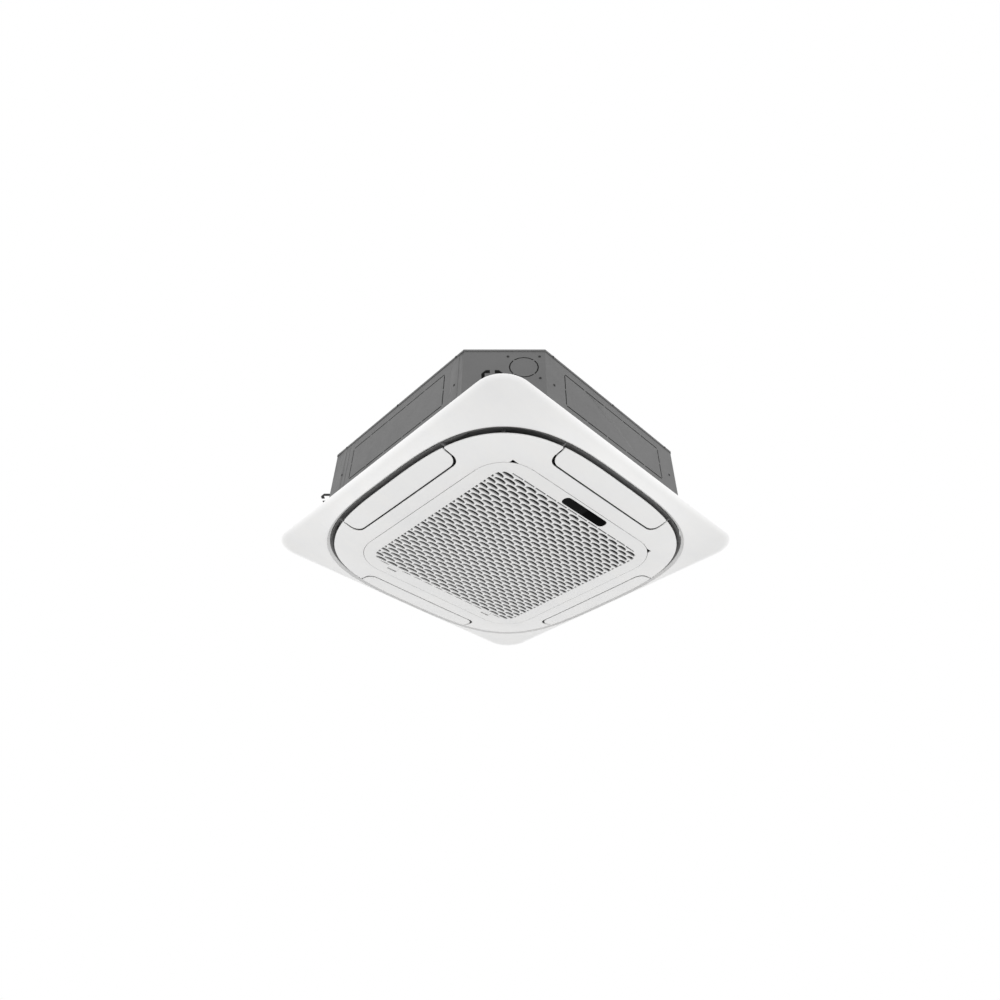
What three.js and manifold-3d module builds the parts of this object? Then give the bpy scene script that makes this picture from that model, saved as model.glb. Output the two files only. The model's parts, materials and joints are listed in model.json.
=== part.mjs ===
// Ceiling cassette air conditioner: a sheet-metal body above the ceiling, and a
// square panel below it with an intake grille in the middle and four louvers round it.
// Millimetres, +Z up. The origin is the centre of the ceiling plane, where the panel's
// flange meets the ceiling. X and Y run along the panel's edges, and the display is on
// the +X side of the grille.
import * as THREE from "three";
import { mergeVertices } from "three/addons/utils/BufferGeometryUtils.js";
import Module from "manifold-3d";

const wasm = await Module();
wasm.setup();

// ---------------------------------------------------------------- driving dimensions

const GAP = 0.3; // between pieces that touch on the real unit
const SHEET = 1.2; // steel sheet

// Body above the ceiling
const BODY_SET_BACK = 55; // from the panel's edge to the body's side
const BODY_TOP = 258.5;
const BODY_BOTTOM = 12; // the body stops this far above the ceiling plane
const CHAMFER = 147; // leg of the chamfer on three corners
const CHAMFER_HANGING = 127; // leg of the chamfer on the -X -Y corner
const LID_RIM = 7; // height of the rim folded down round the lid
const SEAM_SET_BACK = 163.4; // from the body's side to where the wrapped side sheets end
const SEAM_TAB = 14; // how far a flat side runs on behind the wrapped sheet
const SEAM_JOGGLE = 18; // how far before the seam its tab steps back
const FOOT = 20; // width of the edge folded inwards along the bottom
const LINER_WALL = 22;
const LINER_ROOF = 16;
const WELL_MARGIN = 16; // round the motor's feet

// Knock-outs in the casing: slits with bridges left between them
const SLIT = 3.4;
const BRIDGE = 4;
const DUCT_KNOCKOUT_HALF = 200;
const DUCT_KNOCKOUT_RISE = 97; // above the body's lower edge
const DUCT_KNOCKOUT_DROP = 35.5; // below the lid
const DUCT_KNOCKOUT_PARTS = 5; // slits along each long edge
const AIR_KNOCKOUT_RADIUS = 36;
const AIR_KNOCKOUT_SHIFT = 48.7; // along the chamfer, from its middle
const AIR_KNOCKOUT_DROP = 65.5;

// Hanger brackets on the chamfered corners
const HANGER_Z = 135;
const HANGER_SHIFT = 28; // from the chamfer's middle towards the -Y or +Y face
const HANGER_REACH = 40;
const HANGER_HALF = 27;
const HANGER_CORNER = 11;
const HANGER_SHEET = 2.5;
const HANGER_DROP = 25; // the leg that is screwed to the casing
const HANGER_BAR = 9; // bar beyond the bolt hole
const HANGER_ROOT = 12; // plate before the bolt hole
const HANGER_HOLE_HALF = 18.6;
const HANGER_MOUTH_HALF = 5.9; // half the gap that lets a bolt in from outside

// Drain pan and coil
const PAN_HEIGHT = 46.5;
const TROUGH_DEPTH = 15;
const TROUGH_MARGIN = 7; // round the coil that stands in it
const SUMP_DEPTH = 20;
const COIL_MARGIN = 15; // from the coil to the outlets round it
const COIL_THICK = 35;
const COIL_RADIUS = 70;
const COIL_ROOM = 3.7; // from the coil up to the liner
const COIL_CUT = 95; // how far both ends of the coil stop short, by the -X +Y corner
const END_PLATE = 1.5;
const BEND_PITCH = 40;
const BEND_COUNT = 4;
const TUBE_RADIUS = 4.5;
const BEND_SIDES = 5;

// Fan, motor and bell mouth
const FAN_RADIUS = 235;
const HUB_RISE = 16; // of the fan's hub plate above the motor's lower end
const FAN_WALL = 3;
const INLET_MARGIN = 8; // from the bell mouth's throat to the fan's inlet ring
const FAN_BLADES = 7;
const BLADE_INNER = 150;
const BLADE_SWEEP = 0.75; // radians that a blade trails from inlet to rim
const SHROUD_LAP = 8; // how far the inlet ring reaches down past the throat
const SHAFT_RADIUS = 6;
const SHAFT_DROP = 36; // below the motor
const SHAFT_SOCKET = 32; // depth of its hole in the motor
const NUT_RADIUS = 11; // of the fan's nut, to its corners
const BOSS_RADIUS = 16;
const BOSS_HEIGHT = 17.5;
const CONE_ROOM = 8.5; // between the fan's cone and the motor that it is drawn over
const CONE_INSET = 8; // from the motor's side in to the cone's flat
const CONE_MARGIN = 26; // from the motor's side out to the cone's foot
const SHROUD_BEND = 16; // of the inlet ring outwards and up, where it bends towards the rim
const SHROUD_RISE = 28; // from the inlet ring's lower edge up to the rim
const MOTOR_RADIUS = 70;
const MOTOR_HEIGHT = 66;
const MOTOR_ROOM = 19.3; // between the motor and the lid, for its grommets
const MOTOR_CHAMFER = 4;
const MOTOR_EAR = 4; // thickness of its feet
const MOTOR_FEET = 3;
const FOOT_MARGIN = 26; // from the motor's side out to its feet
const GROMMET_RADIUS = 11;
const THROAT_RADIUS = 178;
const THROAT_HEIGHT = 63.8;
const BELL_WALL = 2.5;
const BELL_NECK = 0.7; // share of the bell's height below its straight neck
const BELL_LAND = 29; // width of the flat ring round the bell
const BELL_INSET = 26.4; // from the grille's edge to the bell mouth's
const BELL_FLANGE_THICK = 3;
const BORE_MARGIN = 6;

// Pipes, drain pump and float at the -X +Y corner
const HEADER_INSET = 62.1; // from the chamfer's face
const HEADER_SIDE = 37.5; // from the corner's middle
const HEADER_RADIUS = 9;
const HEADER_RISE = 6; // above the pan
const HEADER_DROP = 15.3; // below the coil's top
const FEEDER_RADIUS = 3.5;
const FEEDER_LEVELS = [0.15, 0.5, 0.85]; // shares of the header's height
const PIPE_RISE = 18; // above the pan
const PIPE_REACH = 46; // beyond the casing
const PIPE_WALL = 1;
const GAS_RADIUS = 7.9;
const LIQUID_RADIUS = 4.8;
const NUT_LENGTH = 18;
const NUT_MARGIN = 5.5; // from the pipe to the nut's corner
const COVER_HALF = 62;
const COVER_MARGIN = 22;
const PUMP_INSET = 47.5;
const PUMP_RADIUS = 20;
const PUMP_RISE = 40; // of its motor above the pan, on a foot
const PUMP_FOOT = 14;
const PUMP_HEIGHT = 50;
const DRAIN_DROP = 67.3; // below the lid
const DRAIN_RADIUS = 13;
const DRAIN_WALL = 2;
const FLOAT_SPACING = 51; // from the pump
const FLOAT_RADIUS = 9;
const FLOAT_HEIGHT = 14;
const FLOAT_RISE = 2; // above the pan
const FLOAT_TRAVEL = 12;
const STEM_RADIUS = 2.5;

// Panel below the ceiling
const PANEL_HALF = 475;
const PANEL_RADIUS = 78;
const PANEL_EDGE = 4;
const PANEL_ROUND = 2.2; // of its outer edge
const PANEL_LAND = 12; // flat band that lies against the ceiling
const PANEL_FALL = 22; // from the flange's edge down to its ridge
const SKIN = 3;
const ROUNDNESS = 3.36; // exponent of the superellipse round the middle deck
const FLANGE_WIDTH = 44; // from the panel's edge to the lip inside it
const DECK_WIDTH = 106.4; // from the deck's rim to the opening for the grille
const RING_GAP = 12; // dark gap between the deck's rim and the flange's lip
const LIP_WIDTH = 8;
const LIP_RISE = 6;
const FACE_DEPTH = 45; // the grille's face below the ceiling plane
const DECK_RISE = 14; // from the grille's face up to the deck's rim
const DECK_BEND = 1.44; // exponent of that rise
const RIM_SHARE = 0.93; // of the deck's width, where its skin thickens into the rim
const DOOR_RADIUS = 99;
const DOOR_SEAM = 1.2;
const DOOR_SKIN = 2.5;
const DOOR_RIM_HEIGHT = 11.7;
const DOOR_RIM = 4.4;

// Duct frame between the panel and the body
const FRAME_TOP = -3;
const FRAME_PLATE = 3;
const FRAME_WALL = 2.5;
const FRAME_SKIRT = 20; // depth of its outer edge below the ceiling plane
const HOOD_RADIUS = 160;
const COLLAR_SET_BACK = 3.4; // from the deck's opening to the collar above it
const COLLAR_RADIUS = 96;
const OUTLET_INSET = 9.5; // from the louver's inner edge to the outlet's
const WALL_SET_BACK = 3; // from the outlet to the wall that hangs beside it
const WALL_STEPS = 5;
const OUTLET_WIDTH = 36;
const SEAL_WIDTH = 10; // foam outside each outlet
const SEAL_RADIUS = 230;
const DECK_BOSS_SPACING = 12; // outwards from the panel's screws, both ways
const DECK_BOSS_RADIUS = 7;
const SCREW_MARGIN = 5.4; // beyond the deck's opening
const SCREW_RADIUS = 2.5;
const SCREW_HEAD = 5;
const SCREW_HEAD_HEIGHT = 3.5;
const SCREW_GRIP = 18.5; // into the drain pan

// Louvers
const LOUVER_SEAM = 5;
const LOUVER_WIDTH = 59.5;
const LOUVER_END = 272.5; // from the panel's corner to a louver's end, along the edge
const LOUVER_CORNER = 26;
const NOTCH_CORNER = 25; // tight enough to let the louver's ends swing in
const PIVOT_INSET = 14.5; // from the louver's inner edge
const PIVOT_RISE = 25; // above the grille's face
const PIVOT_RADIUS = 3;
const ARM_THICK = 3;
const ARM_FOOT = 10; // half its width on the blade
const ARM_WAIST = 5.5; // and round the pivot
const ARM_INSET = 12.5; // from the louver's end, clear of its round corner
const STEPPER_RADIUS = 10;
const STEPPER_LENGTH = 18;

// Intake grille with its display, filter, hinges and latches
const FIELD_BORDER = 39.4; // from the grille's edge to its slots
const FIELD_RADIUS = 42;
const SLOT_COLUMNS = 19;
const SLOT_PITCH_Y = 80.6;
const SLOT_RIB = 6.5;
const SLOT_CROSSBAR = 5;
const SLOT_BOW = 5; // how much shorter a slot's +X side is at each end
const WINDOW_INSET = 21.9;
const WINDOW_Y = 4;
const WINDOW_WIDTH = 29;
const WINDOW_LENGTH = 161;
const WINDOW_RADIUS = 13;
const HOUSING_MARGIN = 1.5; // round the window, and twice that beyond its ends
const HOUSING_HEIGHT = 7;
const FILTER_BORDER = 27.4; // from the grille's edge
const FILTER_HEIGHT = 5;
const FILTER_FRAME = 10;
const FILTER_NET = 0.8;
// Ribs on the grille that the filter's frame rests on
const LATCH_SEAT_SPACING = 64; // from a latch to the rib beside it
const WINDOW_SEAT_SPACING = 35.5; // from the window's ends to the ribs beside it
const FILTER_SEAT_HALF = 10;
const FILTER_BARS = 2;
const FILTER_BAR = 3;
const HINGE_INSET = 14.4; // from the door's edge to the hinge pins
const HINGE_RISE = 6; // above the grille's face
const HINGE_Y = 150;
const RIM_BREAK = [20, 78]; // where the rim stops on the hinge side's corners, along Y from their start
const DOOR_SWING = 90; // degrees
const SWEEP_STEPS = 8;
const PIN_RADIUS = 2;
const KNUCKLE = 3.2;
const ARM_HALF = 2.5;
const LUG = 3; // thickness
const LUG_HALF = 6;
const LUG_WALL = 2; // over the pin
const HINGE_BEAM_LOW = -20;
const HINGE_BEAM = 6;
const LATCH_INSET = 36.4; // from the grille's edge
const LATCH_SIDE = 127.4; // from the grille's corner, along its edge
const LATCH_WIDTH = 12;
const LATCH_LENGTH = 30;
const LATCH_TRAVEL = 7; // outwards, from released to latched
const TONGUE_HALF = 6;
const TONGUE_THICK = 3;
const TONGUE_GRIP = 5.5; // how far it reaches over the deck when latched
const SLIDE_MARGIN = 4; // of its slide beyond the tab
const SLIDE_GAP = 0.5;

// Control box under the bell mouth's edge
const BOX_HALF = 170;
const BOX_WIDTH = 49;
const BOX_HEIGHT = 30;
const BOX_INSET = 5; // from the collar
const BOARD_INSET = 8;
const BOARD_THICK = 1.6;
const BOARD_DROP = 12;
const BOARD_POST = 2.5;
const BOARD_SHORT = 60; // from the board to the box's end, for the terminals
const BOARD_PARTS = [[0.17, 0.33, 12], [0.48, 0.7, 8]]; // shares of its length, and how far down
const TERMINALS = 3;
const TERMINAL_HEIGHT = 16;

// How finely curves are cut
const ROUND = 24;
const SMALL_ROUND = 12;
const CORNER_STEPS = 4;
const OCTANT = [0, 15, 27, 35, 40.5, 43, 45]; // degrees, closest where corners are tight

// ---------------------------------------------------------------- derived levels

// Across the panel, from its edge inwards
const bodyHalf = PANEL_HALF - BODY_SET_BACK;
const lipHalf = PANEL_HALF - FLANGE_WIDTH;
const ridgeHalf = lipHalf + LIP_WIDTH;
const deckHalf = lipHalf - RING_GAP;
const deckOpening = deckHalf - DECK_WIDTH;
const doorHalf = deckOpening - DOOR_SEAM;
const collarInner = deckOpening + COLLAR_SET_BACK;
const louverInner = deckHalf - LOUVER_WIDTH;
const louverHalf = PANEL_HALF - LOUVER_END;
const pivotX = louverInner + PIVOT_INSET;
const notchInner = louverInner - LOUVER_SEAM;
const notchHalf = louverHalf + LOUVER_SEAM;
const outletInner = louverInner - OUTLET_INSET;
const outletOuter = outletInner + OUTLET_WIDTH;
const screwAt = deckOpening + SCREW_MARGIN;
const deckBossAt = screwAt + DECK_BOSS_SPACING;
const fieldHalf = doorHalf - FIELD_BORDER;
const filterHalf = doorHalf - FILTER_BORDER;
const windowX = doorHalf - WINDOW_INSET;
const hingeX = doorHalf - HINGE_INSET;
const latchX = doorHalf - LATCH_INSET;
const latchY = doorHalf - LATCH_SIDE;
const latchSeatY = latchY - LATCH_SEAT_SPACING;
const windowSeatY = WINDOW_LENGTH / 2 + WINDOW_Y + WINDOW_SEAT_SPACING;

// Across the body
const seamX = bodyHalf - SEAM_SET_BACK;
const wallInset = SHEET + GAP; // from the lid's rim to the casing's outer face
const linerInset = wallInset + 2 * (SHEET + GAP);
const coilHalf = outletInner - COIL_MARGIN;
const coilInner = coilHalf - COIL_THICK;
const coilEnd = coilHalf - COIL_CUT;
const bellFlange = doorHalf - BELL_INSET;
const bellMouthRadius = bellFlange - BELL_LAND;
const panBore = bellMouthRadius + BORE_MARGIN;
const fanInlet = THROAT_RADIUS + INLET_MARGIN;
const footCircle = MOTOR_RADIUS + FOOT_MARGIN;
const chamferFace = (2 * bodyHalf - CHAMFER) / Math.SQRT2 - wallInset;
const hangingFace = (2 * bodyHalf - CHAMFER_HANGING) / Math.SQRT2 - wallInset;
const headerAt = chamferFace - HEADER_INSET;
const pumpAt = chamferFace - PUMP_INSET;
const floatAt = pumpAt - FLOAT_SPACING;

// Levels of the panel
const faceZ = -FACE_DEPTH;
const doorBackZ = faceZ + DOOR_SKIN;
const rimZ = faceZ + DECK_RISE;
const ridgeZ = -PANEL_EDGE - PANEL_FALL;
const frameLow = FRAME_TOP - FRAME_PLATE;
const pivotZ = faceZ + PIVOT_RISE;
const hingeZ = faceZ + HINGE_RISE;
const filterLow = faceZ + DOOR_RIM_HEIGHT + GAP;
const tongueLow = doorBackZ + 5 * GAP;

// Levels of the body
const panBottom = BODY_BOTTOM + SHEET + GAP;
const panTop = panBottom + PAN_HEIGHT;
const troughZ = panTop - TROUGH_DEPTH;
const sumpZ = panTop - SUMP_DEPTH;
const lidUnder = BODY_TOP - SHEET;
const linerTop = lidUnder - GAP;
const coilLow = troughZ + GAP;
const coilHigh = linerTop - LINER_ROOF - COIL_ROOM;
const bellLow = panBottom - GAP - BELL_FLANGE_THICK;
const throatTop = bellLow + THROAT_HEIGHT;
const shroudZ = throatTop - SHROUD_LAP;
const motorHigh = lidUnder - MOTOR_ROOM;
const motorLow = motorHigh - MOTOR_HEIGHT;
const fanTop = motorLow + HUB_RISE;
const ductLow = BODY_BOTTOM + DUCT_KNOCKOUT_RISE;
const ductHigh = BODY_TOP - DUCT_KNOCKOUT_DROP;
const airKnockoutZ = BODY_TOP - AIR_KNOCKOUT_DROP;
const headerLow = panTop + HEADER_RISE;
const headerHigh = coilHigh - HEADER_DROP;
const pipeZ = panTop + PIPE_RISE;
const pumpLow = panTop + PUMP_RISE;
const pumpTop = pumpLow + PUMP_HEIGHT;
const drainZ = lidUnder - DRAIN_DROP;
const floatLow = panTop + FLOAT_RISE;
const screwTop = panBottom + SCREW_GRIP;

// ---------------------------------------------------------------- solids

// A closed geometry as a solid, with its faces turned outwards.
function solid(geometry) {
  const bare = geometry.index ? geometry.toNonIndexed() : geometry;
  const points = new THREE.BufferGeometry();
  points.setAttribute("position", bare.getAttribute("position").clone());
  const merged = mergeVertices(points, 1e-4);
  const place = merged.attributes.position;
  const corner = (i) => new THREE.Vector3().fromBufferAttribute(place, i);
  const faces = [];
  let volume = 0;
  for (let i = 0; i < merged.index.count; i += 3) {
    const [a, b, c] = [0, 1, 2].map((k) => merged.index.getX(i + k));
    if (a === b || b === c || c === a) continue;
    faces.push(a, b, c);
    volume += corner(a).dot(corner(b).cross(corner(c)));
  }
  if (volume < 0) faces.reverse();
  return new wasm.Manifold(
    new wasm.Mesh({
      numProp: 3,
      vertProperties: new Float32Array(place.array),
      triVerts: new Uint32Array(faces),
    }),
  );
}

function geometryOf(piece) {
  const cut = piece.getMesh();
  const geometry = new THREE.BufferGeometry();
  geometry.setAttribute("position", new THREE.BufferAttribute(cut.vertProperties, 3));
  geometry.setIndex(new THREE.BufferAttribute(cut.triVerts, 1));
  geometry.computeVertexNormals();
  return geometry;
}

const joined = (...pieces) => pieces.reduce((whole, piece) => whole.add(piece));
const without = (piece, ...cuts) => cuts.reduce((rest, cut) => rest.subtract(cut), piece);

const flat = (list) => list.map(([x, y]) => new THREE.Vector2(x, y));

// An outline in plan, with holes, extruded from z0 to z1.
function prismGeometry(outline, z0, z1, holes = []) {
  const shape = new THREE.Shape(flat(outline));
  shape.holes = holes.map((hole) => new THREE.Path(flat(hole)));
  const depth = z1 - z0;
  return new THREE.ExtrudeGeometry(shape, { depth, bevelEnabled: false }).translate(0, 0, z0);
}
const prism = (...args) => solid(prismGeometry(...args));

// An outline in the XZ plane, extruded from y0 to y1.
function slab(outline, y0, y1, holes = []) {
  const geometry = prismGeometry(outline, 0, y1 - y0, holes);
  return solid(geometry.rotateX(Math.PI / 2).translate(0, y1, 0));
}

function box(x0, x1, y0, y1, z0, z1) {
  const geometry = new THREE.BoxGeometry(x1 - x0, y1 - y0, z1 - z0);
  return solid(geometry.translate((x0 + x1) / 2, (y0 + y1) / 2, (z0 + z1) / 2));
}

// A closed profile of [radius, z] points turned about Z.
function turned(profile, sides = ROUND) {
  return solid(new THREE.LatheGeometry(flat(profile), sides).rotateX(Math.PI / 2));
}

function post(x, y, radius, z0, z1, sides = SMALL_ROUND) {
  const geometry = new THREE.CylinderGeometry(radius, radius, z1 - z0, sides);
  return solid(geometry.rotateX(Math.PI / 2).translate(x, y, (z0 + z1) / 2));
}

// A round bar along X, or along Y.
function barX(y, z, radius, x0, x1, sides = SMALL_ROUND) {
  const geometry = new THREE.CylinderGeometry(radius, radius, x1 - x0, sides);
  return solid(geometry.rotateZ(Math.PI / 2).translate((x0 + x1) / 2, y, z));
}
function barY(x, z, radius, y0, y1, sides = SMALL_ROUND) {
  const geometry = new THREE.CylinderGeometry(radius, radius, y1 - y0, sides);
  return solid(geometry.translate(x, (y0 + y1) / 2, z));
}

const turn = (piece, degrees) => piece.rotate([0, 0, degrees]);
const QUARTERS = [0, 90, 180, 270];

// A surface through rings of points, closed round each ring and from the last to the first.
function loft(rings) {
  const count = rings[0].length;
  const positions = rings.flat().flatMap((p) => [p.x, p.y, p.z]);
  const index = [];
  rings.forEach((ring, i) => {
    const here = i * count;
    const next = ((i + 1) % rings.length) * count;
    for (let j = 0; j < count; j++) {
      const k = (j + 1) % count;
      index.push(here + j, here + k, next + k, here + j, next + k, next + j);
    }
  });
  const geometry = new THREE.BufferGeometry();
  geometry.setAttribute("position", new THREE.Float32BufferAttribute(positions, 3));
  geometry.setIndex(index);
  return solid(geometry);
}

// ---------------------------------------------------------------- outlines in plan

const radians = THREE.MathUtils.degToRad;
const ANGLES = QUARTERS.flatMap((start) => [
  ...OCTANT.map((a) => radians(start + a)),
  ...OCTANT.slice(1, -1).reverse().map((a) => radians(start + 90 - a)),
]);

// Distance from the centre to a superellipse, and to a square with round corners.
function superellipse(half) {
  return (angle) => {
    const sum = Math.abs(Math.cos(angle)) ** ROUNDNESS + Math.abs(Math.sin(angle)) ** ROUNDNESS;
    return half / sum ** (1 / ROUNDNESS);
  };
}
function softSquare(half, radius) {
  return (angle) => {
    const [c, s] = [Math.abs(Math.cos(angle)), Math.abs(Math.sin(angle))];
    const [long, short] = [Math.max(c, s), Math.min(c, s)];
    const centre = half - radius;
    if ((half * short) / long <= centre) return half / long;
    const along = centre * (c + s);
    return along + Math.sqrt(along ** 2 - 2 * centre ** 2 + radius ** 2);
  };
}
const between = (inner, outer, share) => (angle) =>
  inner(angle) + (outer(angle) - inner(angle)) * share;
const ring = (distance, z) =>
  ANGLES.map((a) => new THREE.Vector3(distance(a) * Math.cos(a), distance(a) * Math.sin(a), z));
const outline = (distance) => ring(distance, 0).map((p) => [p.x, p.y]);

// A rectangle with round corners, centred on x, y.
function roundedRectangle(x, y, halfX, halfY, radius, steps = CORNER_STEPS) {
  const corners = [[1, -1, -90], [1, 1, 0], [-1, 1, 90], [-1, -1, 180]];
  return corners.flatMap(([sx, sy, start]) =>
    Array.from({ length: steps + 1 }, (_, i) => {
      const a = radians(start + (90 * i) / steps);
      return [
        x + sx * (halfX - radius) + radius * Math.cos(a),
        y + sy * (halfY - radius) + radius * Math.sin(a),
      ];
    }),
  );
}
const roundedSquare = (half, radius) => roundedRectangle(0, 0, half, half, radius);

// The body's outline, moved inwards by an inset.
function octagon(inset) {
  const h = bodyHalf - inset;
  const c = CHAMFER - (2 - Math.SQRT2) * inset;
  const d = CHAMFER_HANGING - (2 - Math.SQRT2) * inset;
  return [
    [h - c, -h], [h, -h + c], [h, h - c], [h - c, h],
    [-h + c, h], [-h, h - c], [-h, -h + d], [-h + d, -h],
  ];
}

// ---------------------------------------------------------------- materials

const finish = (color, roughness, metalness = 0) =>
  new THREE.MeshStandardMaterial({ color, roughness, metalness });
const greySteel = finish(0x747474, 0.5, 0.3);
const blackSteel = finish(0x1c1c1c, 0.5, 0.3);
const bareSteel = finish(0xb4b6b8, 0.35, 0.9);
const whitePlastic = finish(0xe6e6e6, 0.45);
const greyPlastic = finish(0x9a9a9a, 0.5);
const darkPlastic = finish(0x3b3b3b, 0.6);
const blackGloss = finish(0x050505, 0.12);
const foam = finish(0x2a2a2a, 0.95);
const whiteFoam = finish(0xefefef, 0.9);
const aluminiumFins = finish(0xc8cbce, 0.4, 0.8);
const copper = finish(0xb87348, 0.35, 0.9);
const brass = finish(0xc9a24e, 0.35, 0.9);
const rubber = finish(0x202020, 0.9);
const boardGreen = finish(0x1f5c3a, 0.6);

const unit = new THREE.Group();
function add(name, piece, material, parent = unit) {
  const mesh = new THREE.Mesh(geometryOf(piece), material);
  mesh.name = name;
  parent.add(mesh);
  return mesh;
}

// The corner groups have +X pointing outwards through the chamfer.
function cornerGroup(degrees) {
  const group = new THREE.Group();
  group.rotation.z = radians(degrees);
  unit.add(group);
  return group;
}
const pipeCorner = cornerGroup(135);

// ---------------------------------------------------------------- casing

// The slits of a duct knock-out on the -Y face.
function ductSlits() {
  const [y0, y1] = [-bodyHalf, -bodyHalf + linerInset - GAP];
  const halfSlit = SLIT / 2;
  const cell = (2 * DUCT_KNOCKOUT_HALF) / DUCT_KNOCKOUT_PARTS;
  const middle = (ductLow + ductHigh) / 2;
  const cuts = [];
  for (const z of [ductLow, ductHigh]) {
    for (let i = 0; i < DUCT_KNOCKOUT_PARTS; i++) {
      const x = -DUCT_KNOCKOUT_HALF + i * cell;
      cuts.push(box(x + BRIDGE / 2, x + cell - BRIDGE / 2, y0, y1, z - halfSlit, z + halfSlit));
    }
  }
  for (const x of [-DUCT_KNOCKOUT_HALF, DUCT_KNOCKOUT_HALF]) {
    const [x0, x1] = [x - halfSlit, x + halfSlit];
    const step = halfSlit + BRIDGE / 2;
    cuts.push(box(x0, x1, y0, y1, ductLow + step, middle - BRIDGE / 2));
    cuts.push(box(x0, x1, y0, y1, middle + BRIDGE / 2, ductHigh - step));
  }
  return joined(...cuts);
}

// The four arcs of the round fresh-air knock-out on the +X -Y chamfer.
function airSlits() {
  const arcs = QUARTERS.map((start) => {
    const gap = Math.asin(BRIDGE / 2 / AIR_KNOCKOUT_RADIUS);
    const first = radians(start - 45) + gap;
    const sweep = radians(90) - 2 * gap;
    const along = (radius, share) => [
      radius * Math.cos(first + sweep * share),
      radius * Math.sin(first + sweep * share),
    ];
    const steps = Array.from({ length: CORNER_STEPS + 1 }, (_, i) => i / CORNER_STEPS);
    const outer = steps.map((share) => along(AIR_KNOCKOUT_RADIUS + SLIT / 2, share));
    const inner = steps.map((share) => along(AIR_KNOCKOUT_RADIUS - SLIT / 2, share)).reverse();
    return prismGeometry([...outer, ...inner], -linerInset, linerInset);
  });
  const stand = (arc) =>
    solid(
      arc
        .rotateX(Math.PI / 2)
        .rotateZ(Math.PI / 2)
        .translate(chamferFace, AIR_KNOCKOUT_SHIFT, airKnockoutZ),
    );
  return turn(joined(...arcs.map(stand)), -45);
}

// Holes for both refrigerant pipes and the drain, through the -X +Y chamfer.
function portHoles(from, to, clearance) {
  const holes = [
    barX(HEADER_SIDE, pipeZ, GAS_RADIUS + clearance, from, to),
    barX(-HEADER_SIDE, pipeZ, LIQUID_RADIUS + clearance, from, to),
    barX(0, drainZ, DRAIN_RADIUS + clearance, from, to),
  ];
  return turn(joined(...holes), 135);
}

const wallTop = lidUnder - GAP;
const shell = without(
  joined(
    prism(octagon(wallInset), BODY_BOTTOM, wallTop, [octagon(wallInset + SHEET)]),
    prism(octagon(wallInset + SHEET / 2), BODY_BOTTOM, BODY_BOTTOM + SHEET, [
      octagon(wallInset + FOOT),
    ]),
  ),
  ...QUARTERS.map((q) => turn(ductSlits(), q)),
  airSlits(),
  portHoles(chamferFace - FOOT / 2, chamferFace + FOOT, SLIDE_GAP),
);

// The tabs at both ends of a flat side, stepped back behind the wrapped sheets, on the -Y face.
function seamTabs() {
  const face = -bodyHalf + wallInset;
  const back = face + SHEET + GAP;
  const [z0, z1] = [panBottom, wallTop - LID_RIM];
  const [near, far] = [seamX - SEAM_JOGGLE, seamX + SEAM_TAB];
  const step = box(near, near + 2 * SHEET, face + SHEET / 2, back + SHEET, z0, z1);
  const tab = joined(step, box(near, far, back, back + SHEET, z0, z1));
  return joined(tab, tab.mirror([1, 0, 0]));
}
const cutSide = (x0, x1, y0, y1) => shell.intersect(box(x0, x1, y0, y1, -BODY_TOP, 2 * BODY_TOP));
const flatHalf = seamX - GAP;
const reach = 2 * bodyHalf;
add("casing_front", joined(cutSide(-flatHalf, flatHalf, -reach, 0), seamTabs()), greySteel);
const backSheet = joined(cutSide(-flatHalf, flatHalf, 0, reach), turn(seamTabs(), 180));
add("casing_back", backSheet, greySteel);
add("casing_right", cutSide(seamX, reach, -reach, reach), greySteel);
add("casing_left", cutSide(-reach, -seamX, -reach, reach), greySteel);

// The lid is a shallow tray turned over the sides.
const lid = joined(
  prism(octagon(0), lidUnder, BODY_TOP),
  prism(octagon(0), BODY_TOP - LID_RIM, BODY_TOP, [octagon(SHEET)]),
);
add("casing_lid", lid, greySteel);

const linerLow = panTop + GAP;
const liner = without(
  prism(octagon(linerInset), linerLow, linerTop),
  prism(octagon(linerInset + LINER_WALL), 0, linerTop - LINER_ROOF),
  post(0, 0, footCircle + WELL_MARGIN, linerLow, BODY_TOP, ROUND),
  portHoles(coilHalf, chamferFace, 2 * SLIDE_GAP),
);
add("insulation_liner", liner, whiteFoam);

// ---------------------------------------------------------------- hanger brackets

function hanger() {
  const inner = HANGER_REACH - HANGER_BAR;
  const plate = prism(
    [
      [GAP, -HANGER_HALF],
      [HANGER_REACH - HANGER_CORNER, -HANGER_HALF],
      [HANGER_REACH, -HANGER_HALF + HANGER_CORNER],
      [HANGER_REACH, -HANGER_MOUTH_HALF],
      [inner, -HANGER_MOUTH_HALF],
      [inner, -HANGER_HOLE_HALF],
      [HANGER_ROOT, -HANGER_HOLE_HALF],
      [HANGER_ROOT, HANGER_HOLE_HALF],
      [inner, HANGER_HOLE_HALF],
      [inner, HANGER_MOUTH_HALF],
      [HANGER_REACH, HANGER_MOUTH_HALF],
      [HANGER_REACH, HANGER_HALF - HANGER_CORNER],
      [HANGER_REACH - HANGER_CORNER, HANGER_HALF],
      [GAP, HANGER_HALF],
    ],
    HANGER_Z,
    HANGER_Z + HANGER_SHEET,
  );
  const leg = box(
    GAP, GAP + HANGER_SHEET, -HANGER_HALF, HANGER_HALF, HANGER_Z - HANGER_DROP, HANGER_Z + HANGER_SHEET,
  );
  return joined(plate, leg);
}
const hangers = [
  [-45, chamferFace, -HANGER_SHIFT],
  [45, chamferFace, HANGER_SHIFT],
  [135, chamferFace, -HANGER_SHIFT],
  [225, hangingFace, HANGER_SHIFT],
];
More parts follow.
